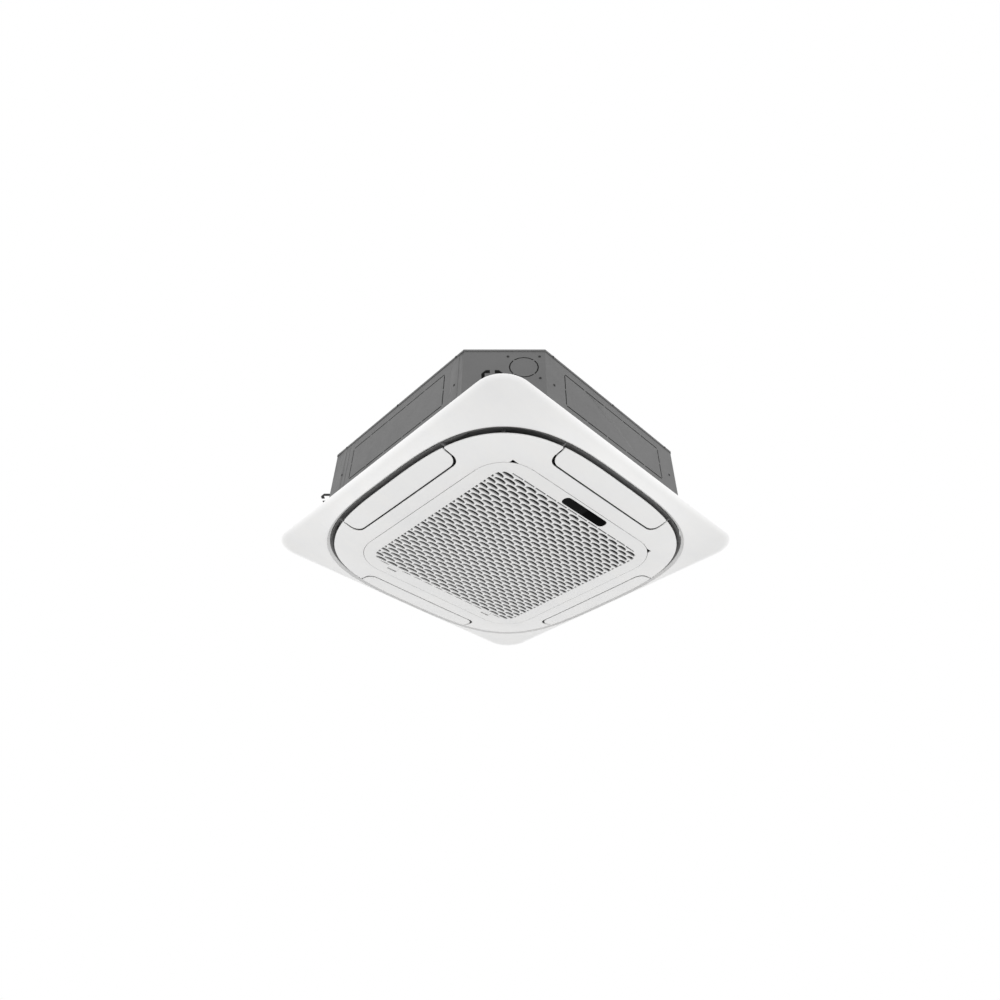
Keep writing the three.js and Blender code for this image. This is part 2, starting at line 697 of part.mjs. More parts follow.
hangers.forEach(([degrees, face, shift], i) => {
  const mesh = add("hanger_bracket_" + (i + 1), hanger(), blackSteel, cornerGroup(degrees));
  mesh.position.set(face, shift, 0);
});

// ---------------------------------------------------------------- drain pan and coil

// One opening for each outlet: all four of them, between two levels.
function outletCuts(z0, z1) {
  const cut = box(outletInner, outletOuter, -louverHalf, louverHalf, z0, z1);
  return joined(...QUARTERS.map((q) => turn(cut, q)));
}
function screwHoles(z0, z1) {
  const hole = post(screwAt, screwAt, SCREW_RADIUS + GAP, z0, z1);
  return joined(...QUARTERS.map((q) => turn(hole, q)));
}

const troughInner = coilInner - TROUGH_MARGIN;
const trough = prism(
  roundedSquare(coilHalf + TROUGH_MARGIN, COIL_RADIUS + TROUGH_MARGIN),
  troughZ,
  panTop + GAP,
  [roundedSquare(troughInner, COIL_RADIUS - COIL_THICK - TROUGH_MARGIN)],
);
const sumpNear = panBore;
const sumpFar = coilHalf + TROUGH_MARGIN;
const pan = without(
  prism(octagon(linerInset), panBottom, panTop),
  post(0, 0, panBore, 0, BODY_TOP, ROUND),
  trough,
  box(-sumpFar, -sumpNear, sumpNear, sumpFar, sumpZ, panTop + GAP),
  outletCuts(0, BODY_TOP),
  screwHoles(0, screwTop + GAP),
);
add("drain_pan", pan, whiteFoam);

const coil = without(
  prism(roundedSquare(coilHalf, COIL_RADIUS), coilLow, coilHigh, [
    roundedSquare(coilInner, COIL_RADIUS - COIL_THICK),
  ]),
  box(-bodyHalf, -coilEnd, coilEnd, bodyHalf, 0, BODY_TOP),
);
add("heat_exchanger", coil, aluminiumFins);

// An end plate with its return bends, for the coil's leg along the -X side.
function endPlate() {
  const face = coilEnd + GAP + END_PLATE;
  const rowX = -coilInner - COIL_THICK / 4;
  const [x0, x1] = [-coilHalf - END_PLATE, -coilInner + END_PLATE];
  const plate = box(x0, x1, coilEnd + GAP, face, coilLow, coilHigh);
  const section = new THREE.Shape(
    flat(Array.from({ length: BEND_SIDES }, (_, i) => [
      TUBE_RADIUS * Math.cos((2 * Math.PI * i) / BEND_SIDES),
      TUBE_RADIUS * Math.sin((2 * Math.PI * i) / BEND_SIDES),
    ])),
  );
  const first = (coilLow + coilHigh) / 2 - ((BEND_COUNT - 1) * BEND_PITCH) / 2;
  const bends = Array.from({ length: BEND_COUNT }, (_, i) => {
    const z = first + i * BEND_PITCH;
    const path = new THREE.CatmullRomCurve3(
      Array.from({ length: 7 }, (_, k) => {
        const a = (k * Math.PI) / 6 - Math.PI / 2;
        const r = BEND_PITCH / 4;
        const y = face - END_PLATE / 2 + 2 * r * Math.cos(a);
        return new THREE.Vector3(rowX, y, z + r * Math.sin(a));
      }),
    );
    return solid(new THREE.ExtrudeGeometry(section, { steps: 5, extrudePath: path }));
  });
  return joined(plate, ...bends);
}
add("coil_end_plate_x", endPlate(), bareSteel);
add("coil_end_plate_y", turn(endPlate().mirror([0, 1, 0]), -90), bareSteel);

// ---------------------------------------------------------------- bell mouth, fan and motor

// The inside and the outside of the bell mouth are a quarter of an ellipse under a straight neck.
function bellMouth() {
  const flangeTop = bellLow + BELL_FLANGE_THICK;
  const neckLow = bellLow + (throatTop - bellLow) * BELL_NECK;
  const quarter = Array.from({ length: CORNER_STEPS + 1 }, (_, i) => radians((90 * i) / CORNER_STEPS));
  const side = (radius, foot) =>
    quarter.map((a) => [
      radius + (bellMouthRadius - radius) * (1 - Math.cos(a)),
      foot + (neckLow - foot) * (1 - Math.sin(a)),
    ]);
  const top = [[THROAT_RADIUS + BELL_WALL, throatTop], [THROAT_RADIUS, throatTop]];
  const edge = [[bellFlange, bellLow], [bellFlange, flangeTop]];
  const outside = side(THROAT_RADIUS + BELL_WALL, flangeTop).reverse();
  return turned([...side(THROAT_RADIUS, bellLow), ...edge, ...outside, ...top, [THROAT_RADIUS, neckLow]]);
}
add("bell_mouth", bellMouth(), darkPlastic);

// The rotor: a hub plate with a cone round the motor, an inlet shroud and trailing blades.
const hubLow = fanTop - FAN_WALL;
const coneLow = motorLow - CONE_ROOM;
const bossLow = coneLow - BOSS_HEIGHT;
function fanRotor() {
  const bore = SHAFT_RADIUS + GAP;
  const [coneInner, coneOuter] = [MOTOR_RADIUS - CONE_INSET, MOTOR_RADIUS + CONE_MARGIN];
  const hub = [
    [bore, bossLow], [BOSS_RADIUS, bossLow], [BOSS_RADIUS, coneLow - 2 * FAN_WALL],
    [coneInner, coneLow - FAN_WALL], [coneOuter, hubLow], [FAN_RADIUS, hubLow],
    [FAN_RADIUS, fanTop], [coneOuter - 1, fanTop], [coneInner - 1, coneLow],
    [bore, coneLow], [bore, bossLow],
  ];
  const outerZ = shroudZ + SHROUD_RISE;
  const [bendR, bendZ] = [fanInlet + SHROUD_BEND, shroudZ + SHROUD_BEND];
  const shroud = [
    [fanInlet, shroudZ], [fanInlet + FAN_WALL, shroudZ], [fanInlet + FAN_WALL, shroudZ + 2 * FAN_WALL],
    [bendR, bendZ], [FAN_RADIUS, outerZ], [FAN_RADIUS, outerZ + FAN_WALL],
    [bendR - 1, bendZ + FAN_WALL], [fanInlet, shroudZ + 3 * FAN_WALL], [fanInlet, shroudZ],
  ];
  const under = [
    [0, 0], [FAN_RADIUS + 1, 0], [FAN_RADIUS + 1, outerZ + FAN_WALL / 2],
    [FAN_RADIUS, outerZ + FAN_WALL / 2], [bendR - 1, bendZ + 1], [0, bendZ + 1],
  ];
  const steps = Array.from({ length: CORNER_STEPS + 1 }, (_, i) => i / CORNER_STEPS);
  const side = (offset) =>
    steps.map((share) => {
      const r = BLADE_INNER + (FAN_RADIUS - FAN_WALL / 2 - BLADE_INNER) * share;
      const a = BLADE_SWEEP * share + offset / r;
      return [r * Math.cos(a), r * Math.sin(a)];
    });
  const blade = prism([...side(0), ...side(FAN_WALL).reverse()], shroudZ, hubLow + FAN_WALL / 2);
  const blades = Array.from({ length: FAN_BLADES }, (_, i) => turn(blade, (360 * i) / FAN_BLADES));
  return joined(without(joined(...blades), turned(under)), turned(hub), turned(shroud));
}
add("fan_rotor", fanRotor(), whitePlastic);
const shaft = post(0, 0, SHAFT_RADIUS, motorLow - SHAFT_DROP, motorLow + SHAFT_SOCKET - 2);
add("fan_shaft", shaft, bareSteel);
const nutTop = bossLow - GAP;
add(
  "fan_nut",
  without(
    post(0, 0, NUT_RADIUS, nutTop - SHAFT_RADIUS, nutTop, 6),
    post(0, 0, SHAFT_RADIUS + GAP, 0, BODY_TOP),
  ),
  bareSteel,
);

function fanMotor() {
  const bore = SHAFT_RADIUS + GAP;
  const body = turned([
    [0, motorHigh], [MOTOR_RADIUS, motorHigh], [MOTOR_RADIUS, motorLow + MOTOR_CHAMFER],
    [MOTOR_RADIUS - MOTOR_CHAMFER, motorLow], [bore, motorLow],
    [bore, motorLow + SHAFT_SOCKET], [0, motorLow + SHAFT_SOCKET],
  ]);
  const ear = joined(
    box(0, footCircle, -GROMMET_RADIUS, GROMMET_RADIUS, motorHigh - MOTOR_EAR, motorHigh),
    post(footCircle, 0, GROMMET_RADIUS + 1, motorHigh - MOTOR_EAR, motorHigh),
  );
  const ears = Array.from({ length: MOTOR_FEET }, (_, i) => turn(ear, (360 * i) / MOTOR_FEET));
  return joined(body, ...ears.map((e) => e.subtract(post(0, 0, MOTOR_RADIUS / 2, 0, BODY_TOP))));
}
add("fan_motor", fanMotor(), bareSteel);
for (let i = 0; i < MOTOR_FEET; i++) {
  const grommet = post(footCircle, 0, GROMMET_RADIUS, motorHigh + GAP, lidUnder - GAP);
  add("motor_grommet_" + (i + 1), turn(grommet, (360 * i) / MOTOR_FEET), rubber);
}

// ---------------------------------------------------------------- pipes, pump and float

// A header with feeders to its end plate, and a pipe out through the chamfer.
function pipe(radius, side) {
  const end = chamferFace + PIPE_REACH;
  const y = side * HEADER_SIDE;
  const header = post(headerAt, y, HEADER_RADIUS, headerLow, headerHigh);
  const stub = barX(y, pipeZ, radius, headerAt, end);
  const bore = barX(y, pipeZ, radius - PIPE_WALL, chamferFace - FOOT, end + 1);
  return without(joined(header, stub, feeders(side)), bore);
}
// Feeder tubes run along the unit's Y axis on one side and along its X axis on the other.
function feeders(side) {
  const x = (-headerAt - side * HEADER_SIDE) / Math.SQRT2;
  const y = (headerAt - side * HEADER_SIDE) / Math.SQRT2;
  const plateFace = coilEnd + 2 * GAP + END_PLATE;
  const levels = FEEDER_LEVELS.map((share) => headerLow + (headerHigh - headerLow) * share);
  const tubes = levels.map((z) =>
    side > 0
      ? barY(x, z, FEEDER_RADIUS, plateFace, y, 8)
      : barX(y, z, FEEDER_RADIUS, x, -plateFace, 8),
  );
  return turn(joined(...tubes), -135);
}
function flareNut(radius, side) {
  const end = chamferFace + PIPE_REACH - SHEET;
  const y = side * HEADER_SIDE;
  return without(
    barX(y, pipeZ, radius + NUT_MARGIN, end - NUT_LENGTH, end, 6),
    barX(y, pipeZ, radius + GAP, 0, end + 1),
  );
}
add("gas_pipe", pipe(GAS_RADIUS, 1), copper, pipeCorner);
add("liquid_pipe", pipe(LIQUID_RADIUS, -1), copper, pipeCorner);
add("gas_flare_nut", flareNut(GAS_RADIUS, 1), brass, pipeCorner);
add("liquid_flare_nut", flareNut(LIQUID_RADIUS, -1), brass, pipeCorner);

const coverPlate = without(
  box(
    chamferFace + GAP, chamferFace + GAP + SHEET, -COVER_HALF, COVER_HALF,
    pipeZ - COVER_MARGIN, pipeZ + COVER_MARGIN,
  ),
  turn(portHoles(0, bodyHalf * 2, SLIDE_GAP), -135),
);

const pump = joined(
  post(pumpAt, 0, PUMP_RADIUS, pumpLow, pumpTop, 16),
  post(pumpAt, 0, PUMP_FOOT, sumpZ + GAP, pumpLow + 1, 16),
);
add("drain_pump", pump, greyPlastic, pipeCorner);

const drain = without(
  joined(
    post(pumpAt, 0, PUMP_RADIUS / 2, pumpTop + GAP, drainZ, 16),
    barX(0, drainZ, DRAIN_RADIUS, pumpAt - DRAIN_RADIUS, chamferFace + PIPE_REACH, 16),
  ),
  barX(0, drainZ, DRAIN_RADIUS - DRAIN_WALL, pumpAt, chamferFace + PIPE_REACH + 1, 16),
);
add("drain_outlet", drain, greyPlastic, pipeCorner);

const stemTop = floatLow + FLOAT_HEIGHT + FLOAT_TRAVEL + 2;
const stemArm = 1.6 * STEM_RADIUS;
const floatSwitch = joined(
  post(floatAt, 0, STEM_RADIUS, sumpZ + GAP, stemTop + 1),
  post(floatAt, 0, 2 * STEM_RADIUS, floatLow - 3, floatLow - GAP),
  box(floatAt - stemArm, pumpAt - PUMP_FOOT - GAP, -stemArm, stemArm, stemTop, stemTop + stemArm),
);
add("float_switch", floatSwitch, greyPlastic, pipeCorner);
const floatRing = without(
  post(floatAt, 0, FLOAT_RADIUS, floatLow, floatLow + FLOAT_HEIGHT),
  post(floatAt, 0, STEM_RADIUS + SLIDE_GAP, 0, BODY_TOP),
);
add("float", floatRing, whiteFoam, pipeCorner);

// ---------------------------------------------------------------- panel flange

// The flange falls and curves from its edge down to a ridge, with a lip inside it.
function flange() {
  const edge = softSquare(PANEL_HALF, PANEL_RADIUS);
  const ridge = superellipse(ridgeHalf);
  const inset = (by) => softSquare(PANEL_HALF - by, PANEL_RADIUS - by);
  const fall = (share) => -PANEL_EDGE - PANEL_FALL * share ** 1.5;
  const shares = [0.35, 0.7];
  return loft([
    ring(edge, 0),
    ring(edge, -PANEL_EDGE + PANEL_ROUND),
    ring(inset(PANEL_ROUND), -PANEL_EDGE),
    ...shares.map((share) => ring(between(edge, ridge, share), fall(share))),
    ring(ridge, ridgeZ),
    ring(superellipse(lipHalf), ridgeZ + LIP_RISE),
    ring(superellipse(lipHalf), frameLow),
    ring(superellipse(lipHalf + SKIN), frameLow),
    ring(superellipse(lipHalf + SKIN), ridgeZ + LIP_RISE + SKIN / 3),
    ring(superellipse(ridgeHalf - SKIN / 3), ridgeZ + (4 * SKIN) / 3),
    ring(between(edge, ridge, 0.7), fall(0.7) + (7 * SKIN) / 6),
    ring(inset(PANEL_LAND), 0),
  ]);
}
add("panel_flange", flange(), whitePlastic);

// ---------------------------------------------------------------- deck and louvers

const deckInner = softSquare(deckOpening, DOOR_RADIUS + DOOR_SEAM);
const deckOuter = superellipse(deckHalf);
const crownZ = (share) => faceZ + DECK_RISE * Math.max(share, 0) ** DECK_BEND;

// The crowned ring that the deck and the louvers are cut from.
const rimTop = rimZ + 2 * SKIN;
const crownRing = (share, lift) => ring(between(deckInner, deckOuter, share), crownZ(share) + lift);
const crown = loft([
  ...[0, 0.35, 0.7].map((share) => crownRing(share, 0)),
  crownRing(0.985, 0),
  ring(deckOuter, rimZ + 2),
  ring(deckOuter, rimTop),
  crownRing(RIM_SHARE, SKIN),
  crownRing(0.5, SKIN),
  crownRing(0, SKIN),
]);

// The level just above the crown at a point in plan, for what stands on it.
function aboveCrown(x, y) {
  const angle = Math.atan2(y, x);
  const [low, high] = [deckInner(angle), deckOuter(angle)];
  const share = (Math.hypot(x, y) - low) / (high - low);
  return share < RIM_SHARE ? crownZ(share) + SKIN + 2 * GAP : rimTop + GAP;
}

// The plan of a louver, or of its notch in the deck, for the +X side.
function louverPlan(inner, half, radius) {
  const outer = inner + 2 * radius + louverInner / 2;
  return roundedRectangle((inner + outer) / 2, 0, (outer - inner) / 2, half, radius);
}
const notch = prism(louverPlan(notchInner, notchHalf, NOTCH_CORNER), -FACE_DEPTH * 2, 0);
const deckBoss = post(deckBossAt, deckBossAt, DECK_BOSS_RADIUS, crownZ(0.7) + 1, frameLow - GAP);

// What the grille's skin passes through round its hinge as it swings open.
function doorSweep() {
  const plan = outline(softSquare(doorHalf + 2 * GAP, DOOR_RADIUS + 2 * GAP));
  const leaf = prism(plan, faceZ - 2 * GAP, doorBackZ + 2 * GAP).translate([-hingeX, 0, -hingeZ]);
  const steps = Array.from({ length: SWEEP_STEPS }, (_, i) => (DOOR_SWING * (i + 1)) / SWEEP_STEPS);
  return steps.map((angle) => leaf.rotate([0, -angle, 0]).translate([hingeX, 0, hingeZ]));
}
const deck = joined(
  without(crown, ...QUARTERS.map((q) => turn(notch, q)), ...doorSweep()),
  ...QUARTERS.map((q) => turn(deckBoss, q)),
);
add("deck_panel", deck, whitePlastic);

// A louver with its two arms and pivot pins, for the +X side.
function louver() {
  const blade = crown.intersect(
    prism(louverPlan(louverInner, louverHalf, LOUVER_CORNER), -FACE_DEPTH * 2, 0),
  );
  const armEnd = louverHalf - ARM_INSET;
  const foot = (x) => [x, aboveCrown(x, armEnd) - 2 * GAP - SKIN / 2];
  const arm = slab(
    [
      foot(pivotX - ARM_FOOT), foot(pivotX + ARM_FOOT), [pivotX + ARM_WAIST, pivotZ],
      [pivotX + PIVOT_RADIUS, pivotZ + ARM_WAIST], [pivotX - PIVOT_RADIUS, pivotZ + ARM_WAIST],
      [pivotX - ARM_WAIST, pivotZ],
    ],
    armEnd - ARM_THICK,
    armEnd,
  );
  const pinEnd = notchHalf + FRAME_WALL + GAP + PIVOT_RADIUS;
  const pin = barY(pivotX, pivotZ, PIVOT_RADIUS, armEnd - 1, pinEnd);
  const end = joined(arm, pin);
  return joined(blade, end, end.mirror([0, 1, 0]));
}
// The stepper motor that turns a louver, outside the frame's end wall.
function stepper() {
  const start = notchHalf + FRAME_WALL + GAP;
  const can = barY(pivotX, pivotZ, STEPPER_RADIUS, start, start + STEPPER_LENGTH, 20);
  return without(can, barY(pivotX, pivotZ, PIVOT_RADIUS + GAP, start - 1, start + 4));
}
QUARTERS.forEach((degrees, i) => {
  const side = new THREE.Group();
  side.rotation.z = radians(degrees);
  unit.add(side);
  add("louver_" + (i + 1), louver(), whitePlastic, side);
  add("louver_motor_" + (i + 1), stepper(), greyPlastic, side);
});

// ---------------------------------------------------------------- duct frame and seal

// An arm of the frame, round below, that the grille's hinge pin runs in.
function hingeArm() {
  const beamTop = HINGE_BEAM_LOW + HINGE_BEAM;
  const circle = (radius, from, to, steps) =>
    Array.from({ length: steps + 1 }, (_, i) => {
      const a = radians(from + ((to - from) * i) / steps);
      return [hingeX + radius * Math.cos(a), hingeZ + radius * Math.sin(a)];
    });
  const beamEnd = collarInner + FRAME_WALL / 2;
  return slab(
    [
      ...circle(KNUCKLE, 180, 360, SMALL_ROUND / 2),
      [hingeX + KNUCKLE, HINGE_BEAM_LOW], [beamEnd, HINGE_BEAM_LOW], [beamEnd, beamTop],
      [hingeX - KNUCKLE, beamTop],
    ],
    HINGE_Y - ARM_HALF,
    HINGE_Y + ARM_HALF,
    [circle(PIN_RADIUS + GAP, 360, 0, SMALL_ROUND).slice(1)],
  );
}

// The frame: a plate with four outlets, a hood out to the flange, a collar round the
// intake, and walls round each outlet that stand on the deck.
function ductFrame() {
  const hoodInner = softSquare(outletOuter + 2, HOOD_RADIUS);
  const skirt = superellipse(lipHalf - GAP - 0.1);
  const skirtInner = superellipse(lipHalf - GAP - FRAME_WALL);
  const opening = softSquare(collarInner, COLLAR_RADIUS);
  const collarOuter = softSquare(collarInner + FRAME_WALL, COLLAR_RADIUS + FRAME_WALL);
  const corner = collarOuter(Math.PI / 4) / Math.SQRT2;
  const collarLow = aboveCrown(corner, corner) + GAP;
  const hood = loft([
    ring(skirt, -FRAME_SKIRT),
    ring(skirt, FRAME_TOP),
    ring(opening, FRAME_TOP),
    ring(opening, collarLow),
    ring(collarOuter, collarLow),
    ring(collarOuter, frameLow),
    ring(hoodInner, frameLow),
    ring(skirtInner, -FRAME_SKIRT + 1),
  ]);
  const wallX = outletInner - FRAME_WALL - WALL_SET_BACK;
  const wallEnd = notchHalf + FRAME_WALL;
  const wallLow = aboveCrown(wallX + FRAME_WALL, wallEnd);
  const inner = box(wallX, wallX + FRAME_WALL, -wallEnd, wallEnd, wallLow, frameLow + 1);
  const pivotHole = barY(pivotX, pivotZ, PIVOT_RADIUS + GAP, -bodyHalf, bodyHalf);
  const trim = prism(outline(skirtInner), -FACE_DEPTH * 2, 0);
  const step = (lipHalf - wallX) / WALL_STEPS;
  const span = Array.from({ length: WALL_STEPS + 1 }, (_, i) => wallX + step * i);
  const foot = span.map((x) => [x, aboveCrown(x + step, wallEnd)]);
  const sheet = slab([...foot, [lipHalf, frameLow + 1], [wallX, frameLow + 1]], notchHalf, wallEnd);
  const end = sheet.intersect(trim);
  const walls = without(joined(inner, end, end.mirror([0, 1, 0])), pivotHole);
  const tongueHole = box(
    -collarInner - 2 * FRAME_WALL, -collarInner + FRAME_WALL,
    latchY - TONGUE_HALF - SLIDE_GAP, latchY + TONGUE_HALF + SLIDE_GAP,
    faceZ, tongueLow + TONGUE_THICK + SLIDE_GAP,
  );
  const body = without(
    joined(hood, ...QUARTERS.map((q) => turn(walls, q))),
    outletCuts(frameLow - 1, 0),
    screwHoles(-FACE_DEPTH, 0),
    tongueHole,
    tongueHole.mirror([0, 1, 0]),
  );
  return joined(body, hingeArm(), hingeArm().mirror([0, 1, 0]));
}
add("duct_frame", ductFrame(), darkPlastic);

const seal = without(
  prism(roundedSquare(outletOuter + SEAL_WIDTH, SEAL_RADIUS), FRAME_TOP + GAP, panBottom - GAP, [
    roundedSquare(collarInner + 2 * FRAME_WALL, COLLAR_RADIUS + 2 * FRAME_WALL),
  ]),
  outletCuts(-FACE_DEPTH, BODY_TOP),
  screwHoles(-FACE_DEPTH, BODY_TOP),
);
add("outlet_seal", seal, foam);

QUARTERS.forEach((degrees, i) => {
  const headTop = frameLow - GAP;
  const screw = joined(
    post(screwAt, screwAt, SCREW_HEAD, headTop - SCREW_HEAD_HEIGHT, headTop),
    post(screwAt, screwAt, SCREW_RADIUS, headTop - 1, screwTop, 8),
  );
  add("panel_screw_" + (i + 1), turn(screw, degrees), bareSteel);
});

// ---------------------------------------------------------------- intake grille

const slotPitchX = (2 * fieldHalf) / SLOT_COLUMNS;
const inField = (x, y) => {
  const distance = softSquare(fieldHalf - SLOT_PITCH_Y / 5, FIELD_RADIUS)(Math.atan2(y, x));
  return Math.hypot(x, y) < distance;
};

// Slots in staggered columns; their +X sides are a little shorter than their -X sides.
function grilleSlots() {
  const halfX = (slotPitchX - SLOT_RIB) / 2;
  const halfY = (SLOT_PITCH_Y - SLOT_CROSSBAR) / 2;
  const rows = Math.ceil(fieldHalf / SLOT_PITCH_Y);
  const slots = [];
  for (let column = 0; column < SLOT_COLUMNS; column++) {
    const x = -fieldHalf + (column + 0.5) * slotPitchX;
    const shift = (column % 2) / 2;
    for (let row = -rows; row <= rows; row++) {
      const y = (row + shift) * SLOT_PITCH_Y;
      const nearLatch = x < -latchX + LATCH_WIDTH + slotPitchX / 2
        && Math.abs(Math.abs(y) - latchY) < halfY + LATCH_LENGTH / 2 + 2;
      if (nearLatch) continue;
      const [low, high] = [Math.max(y - halfY, -fieldHalf), Math.min(y + halfY, fieldHalf)];
      if (high - low < halfY || !inField(x, (low + high) / 2)) continue;
      slots.push([
        [x - halfX, low], [x - halfX, high], [x + halfX, high - SLOT_BOW], [x + halfX, low + SLOT_BOW],
      ]);
    }
  }
  return slots;
}

const windowPlan = (shrink) =>
  roundedRectangle(
    windowX, WINDOW_Y, WINDOW_WIDTH / 2 - shrink, WINDOW_LENGTH / 2 - shrink, WINDOW_RADIUS - shrink, 4,
  );
function latchWindow(side) {
  const y = side * latchY;
  const x0 = -latchX - LATCH_WIDTH / 2 - LATCH_TRAVEL - SLIDE_GAP;
  const x1 = -latchX + LATCH_WIDTH / 2 + SLIDE_GAP;
  const half = LATCH_LENGTH / 2 + SLIDE_GAP;
  return [[x0, y - half], [x1, y - half], [x1, y + half], [x0, y + half]];
}

function intakeGrille() {
  const doorPlan = outline(softSquare(doorHalf, DOOR_RADIUS));
  const skin = prism(doorPlan, faceZ, doorBackZ, [
    ...grilleSlots(), windowPlan(0), latchWindow(1), latchWindow(-1),
  ]);
  const rimTop = faceZ + DOOR_RIM_HEIGHT;
  const rim = prism(doorPlan, faceZ + 1, rimTop, [
    outline(softSquare(doorHalf - DOOR_RIM, DOOR_RADIUS - DOOR_RIM)),
  ]);
  const lugs = [-1, 1].flatMap((side) =>
    [-1, 1].map((flank) => {
      const middle = side * HINGE_Y + flank * (ARM_HALF + GAP + LUG / 2);
      const [low, high] = [middle - LUG / 2, middle + LUG / 2];
      const top = hingeZ + PIN_RADIUS + LUG_WALL;
      return box(hingeX - LUG_HALF, hingeX + LUG_HALF, low, high, doorBackZ - 1, top);
    }),
  );
  const bore = barY(hingeX, hingeZ, PIN_RADIUS + GAP, -bodyHalf, bodyHalf);
  const seatX = filterHalf - FILTER_FRAME / 2;
  const seats = [-1, 1].flatMap((sideX) =>
    [-1, 1].map((sideY) => {
      const [x, y] = [sideX * seatX, sideY * (sideX > 0 ? windowSeatY : latchSeatY)];
      const [halfX, halfY] = [FILTER_FRAME / 4, FILTER_SEAT_HALF];
      return box(x - halfX, x + halfX, y - halfY, y + halfY, doorBackZ - 1, filterLow - GAP);
    }),
  );
  const tongueWay = (side) =>
    box(
      -doorHalf - 1, -doorHalf + 2 * DOOR_RIM,
      side * latchY - TONGUE_HALF - SLIDE_GAP, side * latchY + TONGUE_HALF + SLIDE_GAP,
      doorBackZ, rimTop + 1,
    );
  const armHalf = ARM_HALF + SLIDE_GAP;
  const armWay = (side) =>
    box(
      doorHalf - 2 * DOOR_RIM, doorHalf + 1, side * HINGE_Y - armHalf, side * HINGE_Y + armHalf,
      doorBackZ, rimTop + 1,
    );
  const cornerWay = (side) => {
    const [near, far] = [doorHalf - DOOR_RADIUS + RIM_BREAK[0], doorHalf - DOOR_RADIUS + RIM_BREAK[1]];
    const [y0, y1] = [Math.min(side * near, side * far), Math.max(side * near, side * far)];
    return box(hingeX - 2 * HINGE_INSET, doorHalf + 1, y0, y1, doorBackZ, rimTop + 1);
  };
  const ways = [1, -1].flatMap((side) => [tongueWay(side), armWay(side), cornerWay(side)]);
  return without(joined(skin, rim, ...seats, without(joined(...lugs), bore)), ...ways);
}
add("intake_grille", intakeGrille(), whitePlastic);

add("display_window", prism(windowPlan(GAP), faceZ, doorBackZ + GAP), blackGloss);
const housing = prism(
  roundedRectangle(
    windowX, WINDOW_Y, WINDOW_WIDTH / 2 + HOUSING_MARGIN, WINDOW_LENGTH / 2 + 2 * HOUSING_MARGIN + 0.5,
    WINDOW_RADIUS / 3, 2,
  ),
  doorBackZ + 2 * GAP,
  doorBackZ + 2 * GAP + HOUSING_HEIGHT,
);
add("display_housing", housing, darkPlastic);

for (const side of [1, -1]) {
  const end = ARM_HALF + GAP + LUG + 1;
  const pin = barY(hingeX, hingeZ, PIN_RADIUS, side * HINGE_Y - end, side * HINGE_Y + end);
  add("hinge_pin_" + (side > 0 ? 1 : 2), pin, bareSteel);
}

// The filter: a frame with crossing bars and a fine net across it.
function filter() {
  const top = filterLow + FILTER_HEIGHT;
  const inside = filterHalf - FILTER_FRAME;
  const frame = prism(roundedSquare(filterHalf, FIELD_RADIUS), filterLow, top, [
    roundedSquare(inside, FIELD_RADIUS - FILTER_FRAME),
  ]);
  const middle = (filterLow + top) / 2;
  const netPlan = roundedSquare(inside + 1, FIELD_RADIUS - FILTER_FRAME + 1);
  const net = prism(netPlan, middle, middle + FILTER_NET);
  const bars = (z0) =>
    Array.from({ length: FILTER_BARS }, (_, i) => {
      const at = -inside + ((i + 1) * 2 * inside) / (FILTER_BARS + 1);
      const [x0, x1] = [at - FILTER_BAR / 2, at + FILTER_BAR / 2];
      return box(x0, x1, -inside - 1, inside + 1, z0, middle + FILTER_NET / 2);
    });
  const crossed = bars(filterLow + 1).map((bar) => turn(bar, 90));
  return joined(frame, net, ...bars(filterLow + 0.5), ...crossed);
}
add("filter", filter(), greyPlastic);

// A latch: a tab flush with the face, a slide behind the skin and a tongue over the deck.
function latch(side) {
  const y = side * latchY;
  const low = doorBackZ + 2 * GAP;
  const [x0, x1] = [-latchX - LATCH_WIDTH / 2, -latchX + LATCH_WIDTH / 2];
  const half = LATCH_LENGTH / 2;
  const tongueEnd = -deckOpening - TONGUE_GRIP + LATCH_TRAVEL;
  return joined(
    box(x0, x1, y - half, y + half, faceZ, low + 1),
    box(
      x0 - SLIDE_MARGIN, x1 + SLIDE_MARGIN, y - half - SLIDE_MARGIN, y + half + SLIDE_MARGIN,
      low, low + TONGUE_THICK,
    ),
    box(tongueEnd, x0, y - TONGUE_HALF, y + TONGUE_HALF, tongueLow, tongueLow + TONGUE_THICK),
  );
}
add("latch_1", latch(1), greyPlastic);
add("latch_2", latch(-1), greyPlastic);

// ---------------------------------------------------------------- control box

const boxTop = bellLow - GAP;
const boxLow = boxTop - BOX_HEIGHT;
const boxY = -collarInner + BOX_INSET;
const trayInner = BOX_HALF - SHEET;
const tray = without(
  box(-BOX_HALF, BOX_HALF, boxY, boxY + BOX_WIDTH, boxLow, boxTop),
  box(-trayInner, trayInner, boxY + SHEET, boxY + BOX_WIDTH - SHEET, boxLow - 1, boxTop - SHEET),
);
add("control_box", tray, bareSteel);
add(
  "control_box_cover",
  box(-BOX_HALF, BOX_HALF, boxY, boxY + BOX_WIDTH, boxLow - GAP - SHEET, boxLow - GAP),
  bareSteel,
);

